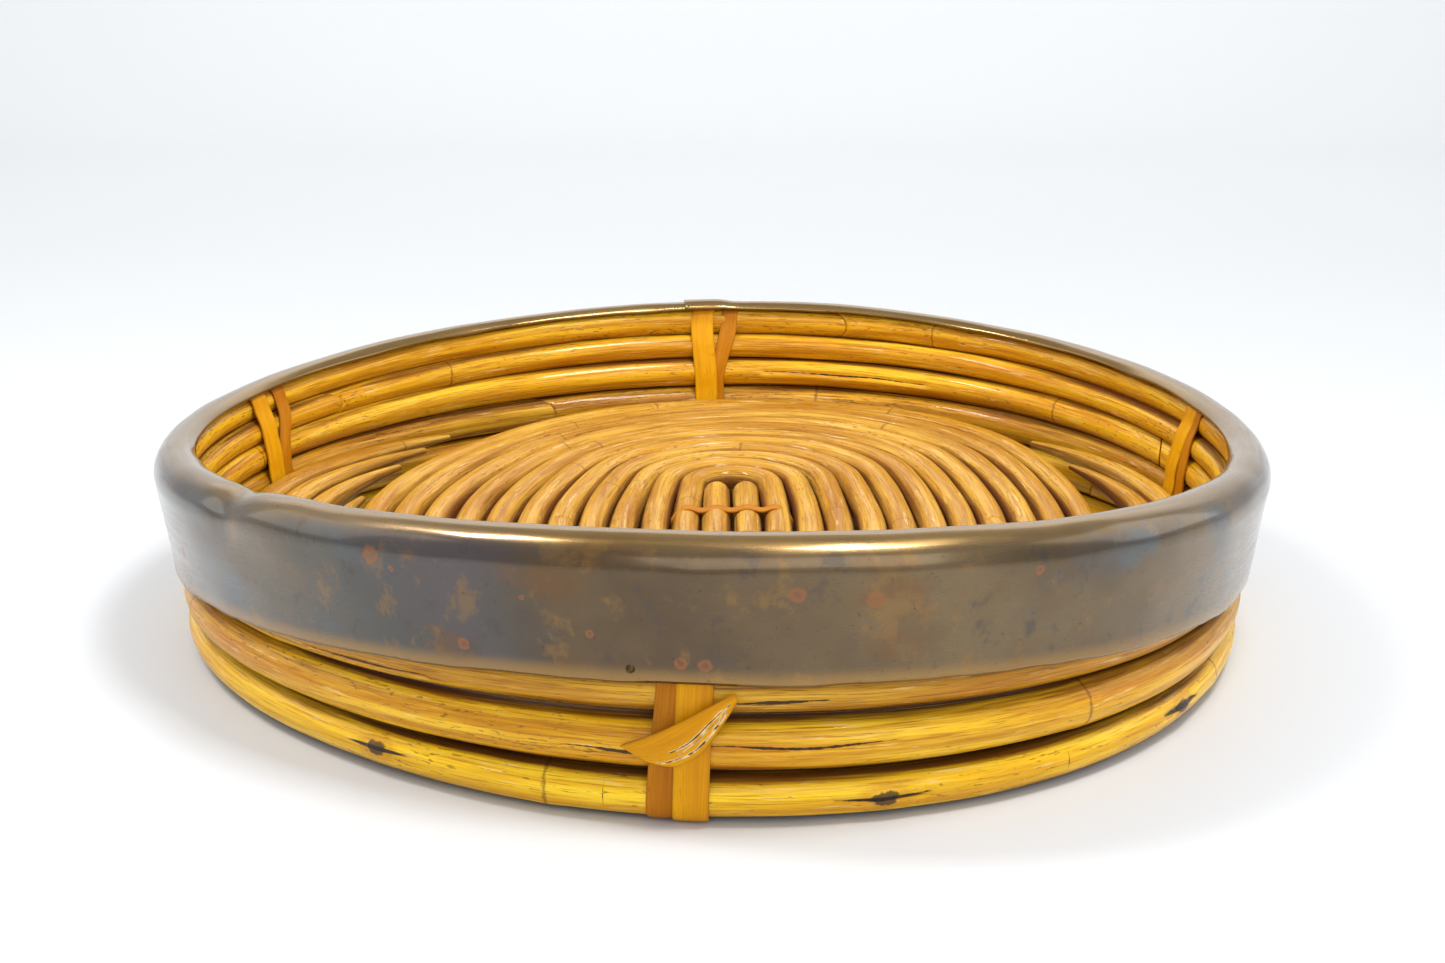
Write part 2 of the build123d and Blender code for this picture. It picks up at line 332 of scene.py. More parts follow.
def size_of(tree, vector):
    """The length of a vector."""
    return add(tree, "ShaderNodeVectorMath", [(0, vector)], operation="LENGTH").outputs["Value"]


def mottle(tree, vector, scale=1.0, detail=3.0, roughness=0.55):
    """Noise as a value."""
    sockets = [("Vector", vector), ("Scale", scale), ("Detail", detail), ("Roughness", roughness)]
    return add(tree, "ShaderNodeTexNoise", sockets).outputs[0]


def relief(tree, layers, strength, distance):
    """A bumped normal from (mask, weight) layers."""
    height = 0.0
    for mask, weight in layers:
        height = calc(tree, "ADD", calc(tree, "MULTIPLY", mask, weight), height)
    sockets = [("Strength", strength), ("Distance", distance), ("Height", height)]
    return add(tree, "ShaderNodeBump", sockets).outputs[0]


def stored(tree, name, output="Vector"):
    """A value that the mesh keeps in each vertex."""
    return add(tree, "ShaderNodeAttribute", attribute_name=name).outputs[output]


def rgb(red, green, blue):
    """A colour from its display values."""
    linear = [((part / 255 + 0.055) / 1.055) ** 2.4 for part in (red, green, blue)]
    return (*linear, 1.0)


# %% Groups and materials
SCALAR, VECTOR = "NodeSocketFloat", "NodeSocketVector"


def new_group(name, inputs, outputs):
    """An empty node group with named sockets."""
    group = bpy.data.node_groups.new(name, "ShaderNodeTree")
    for label, kind in inputs:
        group.interface.new_socket(name=label, in_out="INPUT", socket_type=kind)
    for label in outputs:
        group.interface.new_socket(name=label, in_out="OUTPUT", socket_type=SCALAR)
    return group, group.nodes.new("NodeGroupInput").outputs


def close_group(group, masks):
    """Give the group these masks, by name."""
    add(group, "NodeGroupOutput", list(masks.items()))
    print("group", group.name, "with", ", ".join(masks))


def use_group(tree, group, sockets):
    """Place a node group in a material."""
    return add(tree, "ShaderNodeGroup", sockets, node_tree=group).outputs


def new_material(name):
    """An empty material and its node tree."""
    material = bpy.data.materials.new(name)
    material.use_nodes = True
    material.node_tree.nodes.clear()
    return material, material.node_tree


def close_material(tree, sockets):
    """Add the shader that these sockets feed, and the output."""
    shader = add(tree, "ShaderNodeBsdfPrincipled", sockets)
    add(tree, "ShaderNodeOutputMaterial", [(0, shader.outputs[0])])


# %% [markdown]
# ## Grain
# Rattan and split cane share one grain: hair-fine fibres, broader streaks, and short dark flecks, all drawn
# out along the pole. One node group makes the three masks from the stored straight position, and each
# material colours them its own way.

# %% Grain group
grain, given = new_group(
    "cane_grain",
    [("Lay", VECTOR), ("Fibre Width", SCALAR)],
    ("Fibres", "Streaks", "Patches", "Flecks", "Hairs"),
)
lay = given["Lay"]
finer = calc(grain, "DIVIDE", 1.0, given["Fibre Width"])
fibre_scale = add(grain, "ShaderNodeCombineXYZ", [(0, 45.0), (1, finer), (2, finer)]).outputs[0]
streaks = mottle(grain, stretch(grain, lay, (11.0, 330.0, 330.0)), 1.0, 4.0, 0.6)
hairs = mottle(grain, stretch(grain, lay, (60.0, 2600.0, 2600.0)), 1.0, 3.0, 0.7)
patches = mottle(grain, stretch(grain, lay, (16.0, 60.0, 60.0)), 1.0, 3.0, 0.6)
flecks = mottle(grain, stretch(grain, lay, (330.0, 1500.0, 1500.0)), 1.0, 2.0, 0.5)
dense = mottle(grain, stretch(grain, lay, (14.0, 90.0, 90.0)), 1.0, 2.0, 0.5)
more_flecks = calc(grain, "MULTIPLY", calc(grain, "SUBTRACT", dense, 0.5), 0.45)
masks = {
    "Fibres": mottle(grain, stretch(grain, lay, fibre_scale), 1.0, 3.0, 0.6),
    "Streaks": fade(grain, streaks, 0.3, 0.7),
    "Patches": fade(grain, patches, 0.32, 0.68),
    "Flecks": fade(grain, calc(grain, "ADD", flecks, more_flecks), 0.64, 0.74),
    "Hairs": fade(grain, hairs, 0.52, 0.7),
}
close_group(grain, masks)

# %% [markdown]
# ## Scars
# The second group draws what the mesh only points to: the thin dark line of a leaf ring, a crack with
# ragged lips, the pale frayed fibres beside a split, and a knot with a sunk core, a raised rim and a slit
# to each side. One ragged noise shifts all their edges, so none of them is ruled.

# %% Scar group
RAGGED = 2.4 * MM
KNOT_CORE = (1 / (3.6 * MM), 1 / (2.0 * MM), 0.0)
KNOT_SLIT = (1 / (11 * MM), 1 / (0.55 * MM), 0.0)
scars, given = new_group(
    "pole_scars",
    [("Scar", VECTOR), ("Knot", VECTOR), ("Lay", VECTOR)],
    ("Ring", "Crack", "Frayed", "Knot Core", "Knot Rim"),
)
to_ring, to_crack, crack_width = add(scars, "ShaderNodeSeparateXYZ", [(0, given["Scar"])]).outputs
ragged = calc(scars, "SUBTRACT", mottle(scars, given["Lay"], 420.0, 3.0, 0.6), 0.5)
shift = calc(scars, "MULTIPLY", ragged, RAGGED)
ring_gap = calc(scars, "ABSOLUTE", calc(scars, "ADD", to_ring, shift))
opened = calc(scars, "GREATER_THAN", crack_width, 0.0)
lip = calc(scars, "ADD", calc(scars, "ABSOLUTE", to_crack), calc(scars, "MULTIPLY", shift, 0.35))
crack_gap = calc(scars, "SUBTRACT", lip, crack_width)
crack = calc(scars, "MULTIPLY", inverse(scars, fade(scars, crack_gap, -0.06 * MM, 0.14 * MM)), opened)
fray = calc(scars, "ABSOLUTE", calc(scars, "ADD", to_crack, calc(scars, "MULTIPLY", shift, 0.5)))
fray_gap = calc(scars, "SUBTRACT", fray, calc(scars, "MULTIPLY", crack_width, 1.5))
knot_reach = size_of(scars, stretch(scars, given["Knot"], KNOT_CORE))
knot_reach = calc(scars, "ADD", knot_reach, calc(scars, "MULTIPLY", ragged, 1.1))
slit_reach = size_of(scars, stretch(scars, given["Knot"], KNOT_SLIT))
slit = inverse(scars, fade(scars, slit_reach, 0.7, 1.0))
rim_inside = fade(scars, knot_reach, 0.8, 1.1)
rim_outside = inverse(scars, fade(scars, knot_reach, 1.2, 2.2))
masks = {
    "Ring": inverse(scars, fade(scars, ring_gap, 0.1 * MM, 0.75 * MM)),
    "Crack": calc(scars, "MAXIMUM", crack, slit),
    "Frayed": calc(scars, "MULTIPLY", opened, inverse(scars, fade(scars, fray_gap, 0.0, 0.35 * MM))),
    "Knot Core": inverse(scars, fade(scars, knot_reach, 0.75, 1.0)),
    "Knot Rim": calc(scars, "MULTIPLY", rim_inside, rim_outside),
}
close_group(scars, masks)

# %% [markdown]
# ## Lacquered rattan
# The poles have an old glossy lacquer over warm wood. The pale and deep wood colours follow the streaks and
# patches, painted shade darkens the grooves where poles touch, and cracks, rings and knots come from
# the scar group. The gloss is a clear coat over a rougher wood, which is how a lacquer really works.


# %% Rattan material
SCUFF = rgb(240, 208, 140)
KNOT_HEART = rgb(62, 36, 22)
CRACK_DARK = rgb(38, 18, 8)


def rattan(name, pale, middle, deep, grime_and_shade, coat, gloss, recess_start):
    """One rattan finish. Painted shade in the grooves starts at this share of the way from the pole's middle
    to its edge.
    """
    material, tree = new_material(name)
    lay = stored(tree, "lay")
    masks = use_group(tree, grain, [("Lay", lay), ("Fibre Width", 0.6 * MM)])
    places = [("Scar", stored(tree, "scar")), ("Knot", stored(tree, "knot")), ("Lay", lay)]
    marks = use_group(tree, scars, places)
    scuff = fade(tree, mottle(tree, stretch(tree, lay, (70.0, 900.0, 900.0)), 1.0, 3.0, 0.6), 0.6, 0.72)
    streaky = calc(tree, "MULTIPLY", calc(tree, "SUBTRACT", masks["Streaks"], 0.5), 0.3)
    # painted shade: near the edge where poles touch, the colour is darkened
    edge = calc(tree, "ADD", stored(tree, "recess", "Fac"), streaky)
    recess_shade = fade(tree, edge, recess_start, 1.08, 0.0, 0.92)
    colour = blend(tree, masks["Patches"], middle, pale)
    colour = shade(tree, colour, masks["Streaks"], 0.85, deep)
    colour = blend(tree, fade(tree, masks["Fibres"], 0.45, 0.8, 0.0, 0.35), colour, pale)
    colour = shade(tree, colour, masks["Hairs"], 0.8, deep)
    colour = shade(tree, colour, scuff, 0.5, SCUFF)
    colour = shade(tree, colour, masks["Flecks"], 0.55, grime_and_shade)
    colour = blend(tree, recess_shade, colour, grime_and_shade)
    colour = shade(tree, colour, marks["Ring"], 0.55, grime_and_shade)
    colour = shade(tree, colour, marks["Knot Rim"], 0.5, deep)
    colour = shade(tree, colour, marks["Knot Core"], 0.9, KNOT_HEART)
    colour = shade(tree, colour, marks["Crack"], 0.95, CRACK_DARK)
    layers = [(masks["Fibres"], 0.35), (masks["Streaks"], 0.5), (masks["Hairs"], -0.45)]
    layers += [(marks["Crack"], -2.5), (marks["Knot Core"], -1.2), (marks["Knot Rim"], 0.9)]
    rough = fade(tree, masks["Patches"], 0.0, 1.0, gloss, gloss + 0.16)
    rough = calc(tree, "ADD", rough, calc(tree, "MULTIPLY", recess_shade, 0.25))
    shield = fade(tree, masks["Streaks"], 0.0, 1.0, coat, coat * 0.6)
    sockets = [
        ("Base Color", colour),
        ("Roughness", rough),
        ("Coat Weight", calc(tree, "MULTIPLY", shield, inverse(tree, recess_shade))),
        ("Coat Roughness", 0.08),
        ("Specular IOR Level", 0.15),
        ("Normal", relief(tree, layers, 0.7, 0.4 * MM)),
    ]
    close_material(tree, sockets)
    return material


# dark brown for flecks and leaf rings, and also the painted shade in the grooves
GRIME_AND_SHADE = rgb(84, 32, 4)
wall_finish = rattan(
    "lacquered_rattan", rgb(250, 202, 40), rgb(234, 172, 16), rgb(180, 106, 8), GRIME_AND_SHADE, 0.42, 0.36, 0.62
)
# a darker copy of the same rattan for the third hoop: painted shade
shaded_finish = rattan(
    "shaded_rattan", rgb(232, 178, 40), rgb(208, 144, 18), rgb(140, 76, 8), rgb(72, 28, 6), 0.42, 0.34, 0.56
)
foot_finish = rattan(
    "foot_rattan", rgb(254, 212, 34), rgb(248, 198, 16), rgb(202, 132, 6), rgb(72, 28, 4), 0.42, 0.36, 0.66
)
floor_finish = rattan(
    "floor_rattan", rgb(220, 172, 66), rgb(200, 144, 34), rgb(160, 98, 14), rgb(104, 52, 12), 0.35, 0.38, 0.62
)
print("rattan finishes:", wall_finish.name, shaded_finish.name, foot_finish.name, floor_finish.name)

# %% [markdown]
# ## The six wall hoops
# Each hoop is one thick pole bent into a ring with its two ends cut on a slant and butted together. Radius
# and height are read from the CAD node's box. The joints are spread round the tray so that no two meet.

# %% Wall hoops
WALL_SIDES = 40
WALL_RING_GAP = 1.6 * MM
WALL_ROUNDING = 0.5 * MM
JOINT_GAP = 0.5 * MM
JOINT_SLANT = 1.6
SWOLLEN, SIDE_THINNING = 1.01, 0.06
# each hoop's joint, leaf rings, knots (azimuth, angle up from straight outwards) and cracks (from azimuth,
# to azimuth, angle up, half width in millimetres), from the foot up
HOOP_MARKS = (
    (
        62.0,
        (254.8, 8.0, 150.0, 330.0),
        ((237.0, 10.0), (283.8, -6.0), (320.0, 6.0)),
        ((279.5, 288.0, -4.0, 0.35), (316.0, 323.0, 8.0, 0.3)),
    ),
    (
        35.0,
        (303.9, 200.0, 100.0),
        ((112.0, 5.0),),
        ((268.5, 285.0, 8.0, 0.3), (256.5, 266.0, -8.0, 0.35), (20.0, 33.0, 14.0, 0.2)),
    ),
    (118.0, (222.0, 341.0, 76.0), (), ((269.5, 279.0, -22.0, 0.5), (228.0, 243.0, -30.0, 0.25))),
    (20.0, (250.0, 40.0, 165.0), ((205.0, 178.0),), ((60.0, 84.0, 170.0, 0.25),)),
    (150.0, (290.0, 130.0), (), ()),
    (75.0, (60.0, 190.0), (), ()),
)
HOOP_FINISHES = {1: foot_finish, 3: shaded_finish}


def hoop(number, joint, rings, knots, cracks):
    """One wall hoop, settled in its place."""
    low, high = (Vector(corner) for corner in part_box(f"wall_pole_{number}"))
    radius = 0.5 * (high.z - low.z)
    level = 0.5 * (low.z + high.z)
    centre_radius = high.x - radius
    start = math.radians(joint)
    path, length = arc_path([(0, 0, centre_radius, start, math.tau - JOINT_GAP / centre_radius)])

    def along(azimuth):
        return (math.radians(azimuth) - start) % math.tau * centre_radius

    rings = [along(place) for place in rings]
    knots = [(along(place), math.radians(up)) for place, up in knots]
    cracks = [(along(a), along(b), math.radians(up), width * MM) for a, b, up, width in cracks]
    pole = straight_pole(length, radius, WALL_SIDES, WALL_RING_GAP, WALL_ROUNDING)
    grow(pole, radius, 3.1 * number, 1, rings, knots, cracks, slope=JOINT_SLANT, length=length)
    for vertex in pole.verts:
        thinning = SWOLLEN - SIDE_THINNING * math.cos(2 * (start + vertex.co.x / centre_radius))
        vertex.co.y *= thinning
        vertex.co.z *= thinning
    bend(pole, path, level)
    settle(pole, level / MM)
    finish = HOOP_FINISHES.get(number, wall_finish)
    finish_piece(f"wall_hoop_{number}", pole, finish, f"wall_pole_{number}")


for number, marks in enumerate(HOOP_MARKS, start=1):
    hoop(number, *marks)

# %% [markdown]
# ## The coiled floor
# The floor is one thin pole run up and down like a hairpin and coiled outwards until it reaches the wall.
# Its turns are longer than they are wide. Round arcs at both ends join flatter arcs along the sides, and
# each pair of arcs touches without a kink, so the pole can be walked along by distance.

# %% Where the coil runs
floor_low, floor_high = (Vector(corner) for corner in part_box("floor_coil_middle"))
FLOOR_POLE = 0.5 * (floor_high.z - floor_low.z)
FLOOR_Z = 0.5 * (floor_high.z + floor_low.z)
FLOOR_REACH = 141.8 * MM
SIDE_PITCH = 9.5 * MM
END_PITCH = 8.5 * MM
CORE_X = 3.6 * MM
FIRST_TURN = 1.5
LAST_BACK_TURN = 11.5
END_ROUND = 0.9
LEAN = 0.4 * MM
CORE_LENGTH = 82.0 * MM
CORE_Y = -END_PITCH / 4                                       # back and front ends reach equally far
END_BASE = FLOOR_REACH - CORE_Y - LAST_BACK_TURN * END_PITCH


def end_circle(step):
    """Centre and radius of an end arc. Even steps lie at the back, odd ones in front."""
    turn = FIRST_TURN + step / 2
    radius = END_ROUND * SIDE_PITCH * turn
    reach = END_BASE + END_PITCH * turn - radius
    shift = CORE_X + LEAN * (turn - FIRST_TURN)
    if step % 2 == 0:
        return Vector((shift, CORE_Y + reach)), radius
    return Vector((shift - SIDE_PITCH / 2, CORE_Y - reach)), radius


def side_circle(step):
    """The flat circle that touches end arc `step` and the next one."""
    near, near_radius = end_circle(step)
    far, far_radius = end_circle(step + 1)
    turn = FIRST_TURN + step / 2
    edge = CORE_X + SIDE_PITCH * turn if step % 2 == 0 else CORE_X - SIDE_PITCH * (turn + 0.5)
    middle = (near + far) / 2
    mean_radius = (near_radius + far_radius) / 2
    half_span = (near - far).length / 2
    width = abs(edge - middle.x)
    radius = (half_span**2 + width**2 - mean_radius**2) / (2 * (width - mean_radius))
    span = far - near
    reach_near, reach_far = radius - near_radius, radius - far_radius
    along = (reach_near**2 - reach_far**2 + span.length**2) / (2 * span.length)
    across = math.sqrt(reach_near**2 - along**2)
    heading = span.normalized()
    return near + heading * along + Vector((heading.y, -heading.x)) * across, radius


def heading_between(start, end):
    """Direction from one centre to another."""
    return math.atan2(end.y - start.y, end.x - start.x)


def coil_arc(index):
    """One arc of the coil. Even ones go round an end, odd ones along a side."""
    step = index // 2
    if index % 2:
        centre, radius = side_circle(step)
        first = heading_between(centre, end_circle(step)[0])
        last = heading_between(centre, end_circle(step + 1)[0])
    else:
        centre, radius = end_circle(step)
        first = heading_between(side_circle(step - 1)[0], centre)
        last = heading_between(side_circle(step)[0], centre)
    return centre, radius, first, -((first - last) % math.tau)


# %% Floor poles
FLOOR_SIDES = 24
FLOOR_RING_GAP = 2.2 * MM
FLOOR_ROUNDING = 0.6 * MM
FLOOR_FULLNESS = 1.07
FLOOR_UNEVENNESS = 1.5
RING_SPACING = 190 * MM
FIRST_RING = 50 * MM


def floor_pole(name, node, arcs, seed, taper=0.0):
    """One length of floor pole along these arcs, thinned at both ends if it has a taper."""
    path, length = arc_path(arcs)
    rings = []
    for index in range(int(length / RING_SPACING)):
        rings.append(FIRST_RING + RING_SPACING * (index + 0.35 * math.sin(seed + 2.3 * index)))
    pole = straight_pole(length, FLOOR_POLE, FLOOR_SIDES, FLOOR_RING_GAP, FLOOR_ROUNDING)
    grow(
        pole, FLOOR_POLE, seed, 0, rings,
        unevenness=FLOOR_UNEVENNESS, length=length, taper=taper, fullness=FLOOR_FULLNESS,
    )
    bend(pole, path, FLOOR_Z)
    settle(pole, rises=FLOOR_RISES)
    finish_piece(name, pole, floor_finish, node)


# %% Coiled poles
# each length of the coil runs from one place in the row of arcs to another, counted in arcs
COILS = {"inner": (-1.2, 15.0), "middle": (15.0, 29.0), "outer": (29.0, 41.72)}

for number, (name, (start, stop)) in enumerate(COILS.items()):
    arcs = []
    for index in range(round(start), round(stop) + 1):
        centre, radius, first, turn = coil_arc(index)
        begin = max(start - index + 0.5, 0.0)
        end = min(stop - index + 0.5, 1.0)
        if end > begin:
            arcs.append((centre.x, centre.y, radius, first + turn * begin, turn * (end - begin)))
    floor_pole(f"coil_{name}", f"floor_coil_{name}", arcs, 41.0 + 7 * number)

# %% Fillers and core bars
# radius in millimetres, first and last azimuth
FILLERS = {
    "left": ((142.0, 133, 226), (133.2, 140, 219), (124.4, 149, 210), (115.6, 166, 195)),
    "right": ((142.0, -42, 41), (133.2, -31, 29)),
}
FILLER_TAPER = 85 * MM
STRAIGHT_RADIUS = 60.0       # metres: an arc so flat that it is a line

for side, fillers in FILLERS.items():
    for number, (radius, first, last) in enumerate(fillers, start=1):
        arcs = [(0, 0, radius * MM, math.radians(first), math.radians(last - first))]
        name = f"filler_{side}_{number}"
        floor_pole(name, f"floor_{name}", arcs, 70.0 + 5 * number + len(side), FILLER_TAPER)

for side, shift in (("left", -SIDE_PITCH / 2), ("right", SIDE_PITCH / 2)):
    half_turn = CORE_LENGTH / 2 / STRAIGHT_RADIUS
    middle = CORE_X + shift - STRAIGHT_RADIUS
    arcs = [(middle, CORE_Y, STRAIGHT_RADIUS, -half_turn, 2 * half_turn)]
    floor_pole(f"core_{side}", f"core_bar_{side}", arcs, 90.0 + len(side))

# %% [markdown]
# ## Split cane
# The bindings are flat strips split from the skin of rattan. A strip is a narrow grid: we lay it flat, store
# its flat position for the grain, and wrap it round a loop drawn through a few points. Its own thickness
# comes from a Solidify modifier, and it is slightly crowned, as a strip from a round pole is.


# %% Cane material
FRAYED_PALE = rgb(246, 222, 170)


def cane(name, pale, deep, dark, gloss):
    """Satin split cane with long fibres."""
    material, tree = new_material(name)
    lay = stored(tree, "lay")
    masks = use_group(tree, grain, [("Lay", lay), ("Fibre Width", 0.35 * MM)])
    marks = use_group(tree, scars, [("Scar", stored(tree, "scar")), ("Knot", (FAR, FAR, 0.0)), ("Lay", lay)])
    colour = blend(tree, masks["Patches"], deep, pale)
    colour = shade(tree, colour, masks["Streaks"], 0.5, deep)
    colour = blend(tree, fade(tree, masks["Fibres"], 0.42, 0.75, 0.0, 0.5), colour, pale)
    colour = shade(tree, colour, masks["Hairs"], 0.45, deep)
    colour = shade(tree, colour, masks["Flecks"], 0.2, dark)
    # painted shade: the strip darkens towards its edges
    colour = blend(tree, fade(tree, stored(tree, "recess", "Fac"), 0.55, 1.05, 0.0, 0.85), colour, dark)
    colour = shade(tree, colour, marks["Frayed"], 0.85, FRAYED_PALE)
    colour = shade(tree, colour, marks["Crack"], 0.9, dark)
    sockets = [
        ("Base Color", colour),
        ("Roughness", fade(tree, masks["Fibres"], 0.3, 0.7, gloss, gloss + 0.15)),
        ("Coat Weight", 0.08),
        ("Coat Roughness", 0.2),
        ("Specular IOR Level", 0.1),
        ("Normal", relief(tree, [(masks["Fibres"], 0.8), (marks["Crack"], -1.5)], 0.6, 0.3 * MM)),
    ]
    close_material(tree, sockets)
    return material


strap_finish = cane("split_cane", rgb(234, 170, 8), rgb(196, 126, 2), rgb(70, 26, 4), 0.42)
dull_finish = cane("aged_cane", rgb(202, 130, 8), rgb(156, 88, 4), rgb(60, 22, 6), 0.4)
print("cane finishes:", strap_finish.name, dull_finish.name)

# %% Flat strips
CANE = 0.8 * MM
CROWN = 0.25 * MM
# the edges of a strip count as a recess, where the cane finish paints shade
EDGE_SHADE = 0.75            # how near the edges come to a full recess
SEAM = 0.02 * MM
THICKEN = ("SOLIDIFY", {"thickness": CANE * 0.85, "offset": 0.0})
SOFTEN = (
    "BEVEL",
    {"width": 0.18 * MM, "segments": 2, "limit_method": "ANGLE", "angle_limit": math.radians(50)},
)


def flat_strip(length, width, columns, row_gap):
    """A strip along X with its flat position stored."""
    strip = bmesh.new()
    rows = max(4, round(length / row_gap))
    bmesh.ops.create_grid(strip, x_segments=rows, y_segments=columns, size=0.5)
    lay = strip.verts.layers.float_vector.new("lay")
    scar = strip.verts.layers.float_vector.new("scar")
    recess = strip.verts.layers.float.new("recess")
    for vertex in strip.verts:
        vertex.co = ((vertex.co.x + 0.5) * length, vertex.co.y * width, 0)
        vertex[lay] = vertex.co
        vertex[scar] = (FAR, FAR, 0)
        vertex[recess] = abs(vertex.co.y) / (0.5 * width) * EDGE_SHADE
    return strip


def join_ends(strip):
    """Close a strip whose ends meet, with its faces turned outwards."""
    bmesh.ops.remove_doubles(strip, verts=strip.verts[:], dist=SEAM)
    bmesh.ops.recalc_face_normals(strip, faces=strip.faces[:])


# %% Smooth curves and directions
def curve_point(p0, p1, p2, p3, t):
    """A smooth curve's place between p1 and p2 that also heeds the points before and after."""
    bend_in = 2 * p0 - 5 * p1 + 4 * p2 - p3
    bend_out = 3 * p1 - 3 * p2 + p3 - p0
    return 0.5 * (2 * p1 + (p2 - p0) * t + bend_in * t**2 + bend_out * t**3)


def smooth_loop(points, samples=12):
    """A closed loop through these points as (length, function from distance to (point, normal))."""
    dots = []
    count = len(points)
    for index in range(count):
        corners = [Vector(points[(index + shift) % count]) for shift in (-1, 0, 1, 2)]
        dots += [curve_point(*corners, part / samples) for part in range(samples)]
    dots.append(dots[0])
    marks = [0.0]
    for a, b in zip(dots, dots[1:]):
        marks.append(marks[-1] + (b - a).length)

    def at(distance):
        distance = distance % marks[-1]
        index = next(k for k in range(1, len(marks)) if marks[k] >= distance)
        share = (distance - marks[index - 1]) / (marks[index] - marks[index - 1])
        ahead = (dots[index] - dots[index - 1]).normalized()
        return dots[index - 1].lerp(dots[index], share), Vector((ahead.y, -ahead.x))

    return marks[-1], at


def along_line(values, share):
    """A smooth value at this share of a row of evenly spaced ones."""
    last = len(values) - 1
    spot = min(max(share, 0.0), 1.0) * last
    index = min(int(spot), last - 1)
    corners = [values[min(max(index + shift, 0), last)] for shift in (-1, 0, 1, 2)]
    return curve_point(*corners, spot - index)


def outward_at(azimuth):
    """The way out from the tray's middle at this azimuth in degrees."""
    turn = math.radians(azimuth)
    return Vector((math.cos(turn), math.sin(turn), 0))


# %% [markdown]
# ## The four bindings
# Each binding is a wide and a narrow strip tied round the whole wall, with a third strip hitched across
# them outside. They were pulled tight by hand, so they lean, spread and cross a little differently at every
# place. The lean is given by a few sideways offsets on the way round.

# %% Wraps
# a wrap's way round the wall, outwards and up: over the foot, up the outside, over the top, down the inside
WRAP_LOOP = (
    (153.4, 0.7), (157.4, 2.2), (159.2, 6.3), (158.9, 11.6), (159.8, 17.5), (159.2, 23.8),
    (159.4, 28.95), (159.0, 34.3), (159.4, 39.3), (159.8, 44.4), (161.0, 49.5), (163.4, 56.0), (161.6, 61.0),
    (158.0, 62.8), (154.4, 61.2), (152.8, 56.5), (150.9, 51.5), (149.8, 46.5), (148.4, 39.3), (148.2, 34.3),
    (147.5, 28.95), (147.6, 23.8), (146.9, 17.5), (147.9, 11.6), (147.8, 6.3), (149.4, 2.2),
)
STRAP_ANGLES = {"front": -92.4, "right": 12.5, "back": 90.0, "left": 163.0}
STRAP_STEP = 2.95
# sideways offsets in millimetres at the foot, outside top, inside top, inside middle and inside bottom
STRAP_LEANS = {
    "front": ((-0.3, 1.9, 2.5, 1.0, -0.3), (0.6, 5.3, 3.0, 0.5, 0.6)),
    "right": ((0.0, -1.2, -1.5, -0.5, 0.5), (0.4, 2.5, 2.0, -1.0, -3.5)),
    "back": ((0.0, 2.0, 6.8, 5.2, 5.0), (0.0, 1.5, 4.6, 9.5, 5.5)),
    "left": ((0.0, 1.0, -1.0, 0.0, 0.6), (0.0, -1.6, -5.0, 1.5, 4.0)),
}
LEAN_STOPS = (0.0, 0.42, 0.56, 0.72, 0.92, 1.0)
WRAP_COLUMNS = 8
WRAP_ROW_GAP = 1.3 * MM
WIDE_WRAP, WIDE_LIFT = 8.4 * MM, 0.3 * MM
NARROW_WRAP, NARROW_LIFT = 6.2 * MM, -0.1 * MM
RIPPLE, RIPPLE_WAVE = 0.12 * MM, 8 * MM
WIDTH_CHANGE, WIDTH_WAVE = 0.05, 20 * MM
WEAVE, WEAVE_WAVE = 0.35 * MM, 30 * MM


def lean_at(leans, share):
    """Sideways offset at this share of the way round."""
    values = (*leans, leans[0])
    for index in range(len(LEAN_STOPS) - 1):
        low, high = LEAN_STOPS[index], LEAN_STOPS[index + 1]
        if share <= high:
            return values[index] + (values[index + 1] - values[index]) * ease((share - low) / (high - low))
    return values[-1]


def wrap_strap(place, kind, width, azimuth, leans, lift, finish):
    """One strip round the wall at this azimuth."""
    length, loop = smooth_loop([(r * MM, z * MM) for r, z in WRAP_LOOP])
    strip = flat_strip(length, width, WRAP_COLUMNS, WRAP_ROW_GAP)
    outward, sideways = outward_at(azimuth), outward_at(azimuth + 90)
    seed = azimuth * 0.1 + width * 1000
    for vertex in strip.verts:
        along, across, _ = vertex.co
        point, normal = loop(along)
        edge = across / (0.5 * width)
        crown = CROWN * (1 - edge * edge) + lift
        crown += RIPPLE * noise.noise((along / RIPPLE_WAVE, edge, seed))
        side = across * (1 + WIDTH_CHANGE * noise.noise((along / WIDTH_WAVE, 2.0, seed)))
        side += lean_at(leans, along / length) * MM + WEAVE * noise.noise((along / WEAVE_WAVE, 5.0, seed))
        spot = point + normal * crown
        vertex.co = outward * spot.x + sideways * side + Vector((0, 0, spot.y))
    join_ends(strip)
    settle(strip)
    node = f"binding_{place}_{kind}"
    finish_piece(f"strap_{place}_{kind}", strip, finish, node, (THICKEN, SOFTEN))


for place, azimuth in STRAP_ANGLES.items():
    wide, narrow = STRAP_LEANS[place]
    wrap_strap(place, "wide_wrap", WIDE_WRAP, azimuth, wide, WIDE_LIFT, strap_finish)
    wrap_strap(place, "narrow_wrap", NARROW_WRAP, azimuth - STRAP_STEP, narrow, NARROW_LIFT, dull_finish)

# %% [markdown]
# ## The hitches
# On the outside a broad strip slants over both wraps. Its cut lower end is pushed in between the poles and
# its upper end goes under the brass. It is a grid again, with a width that changes along it, and two splits
# that opened as it dried.

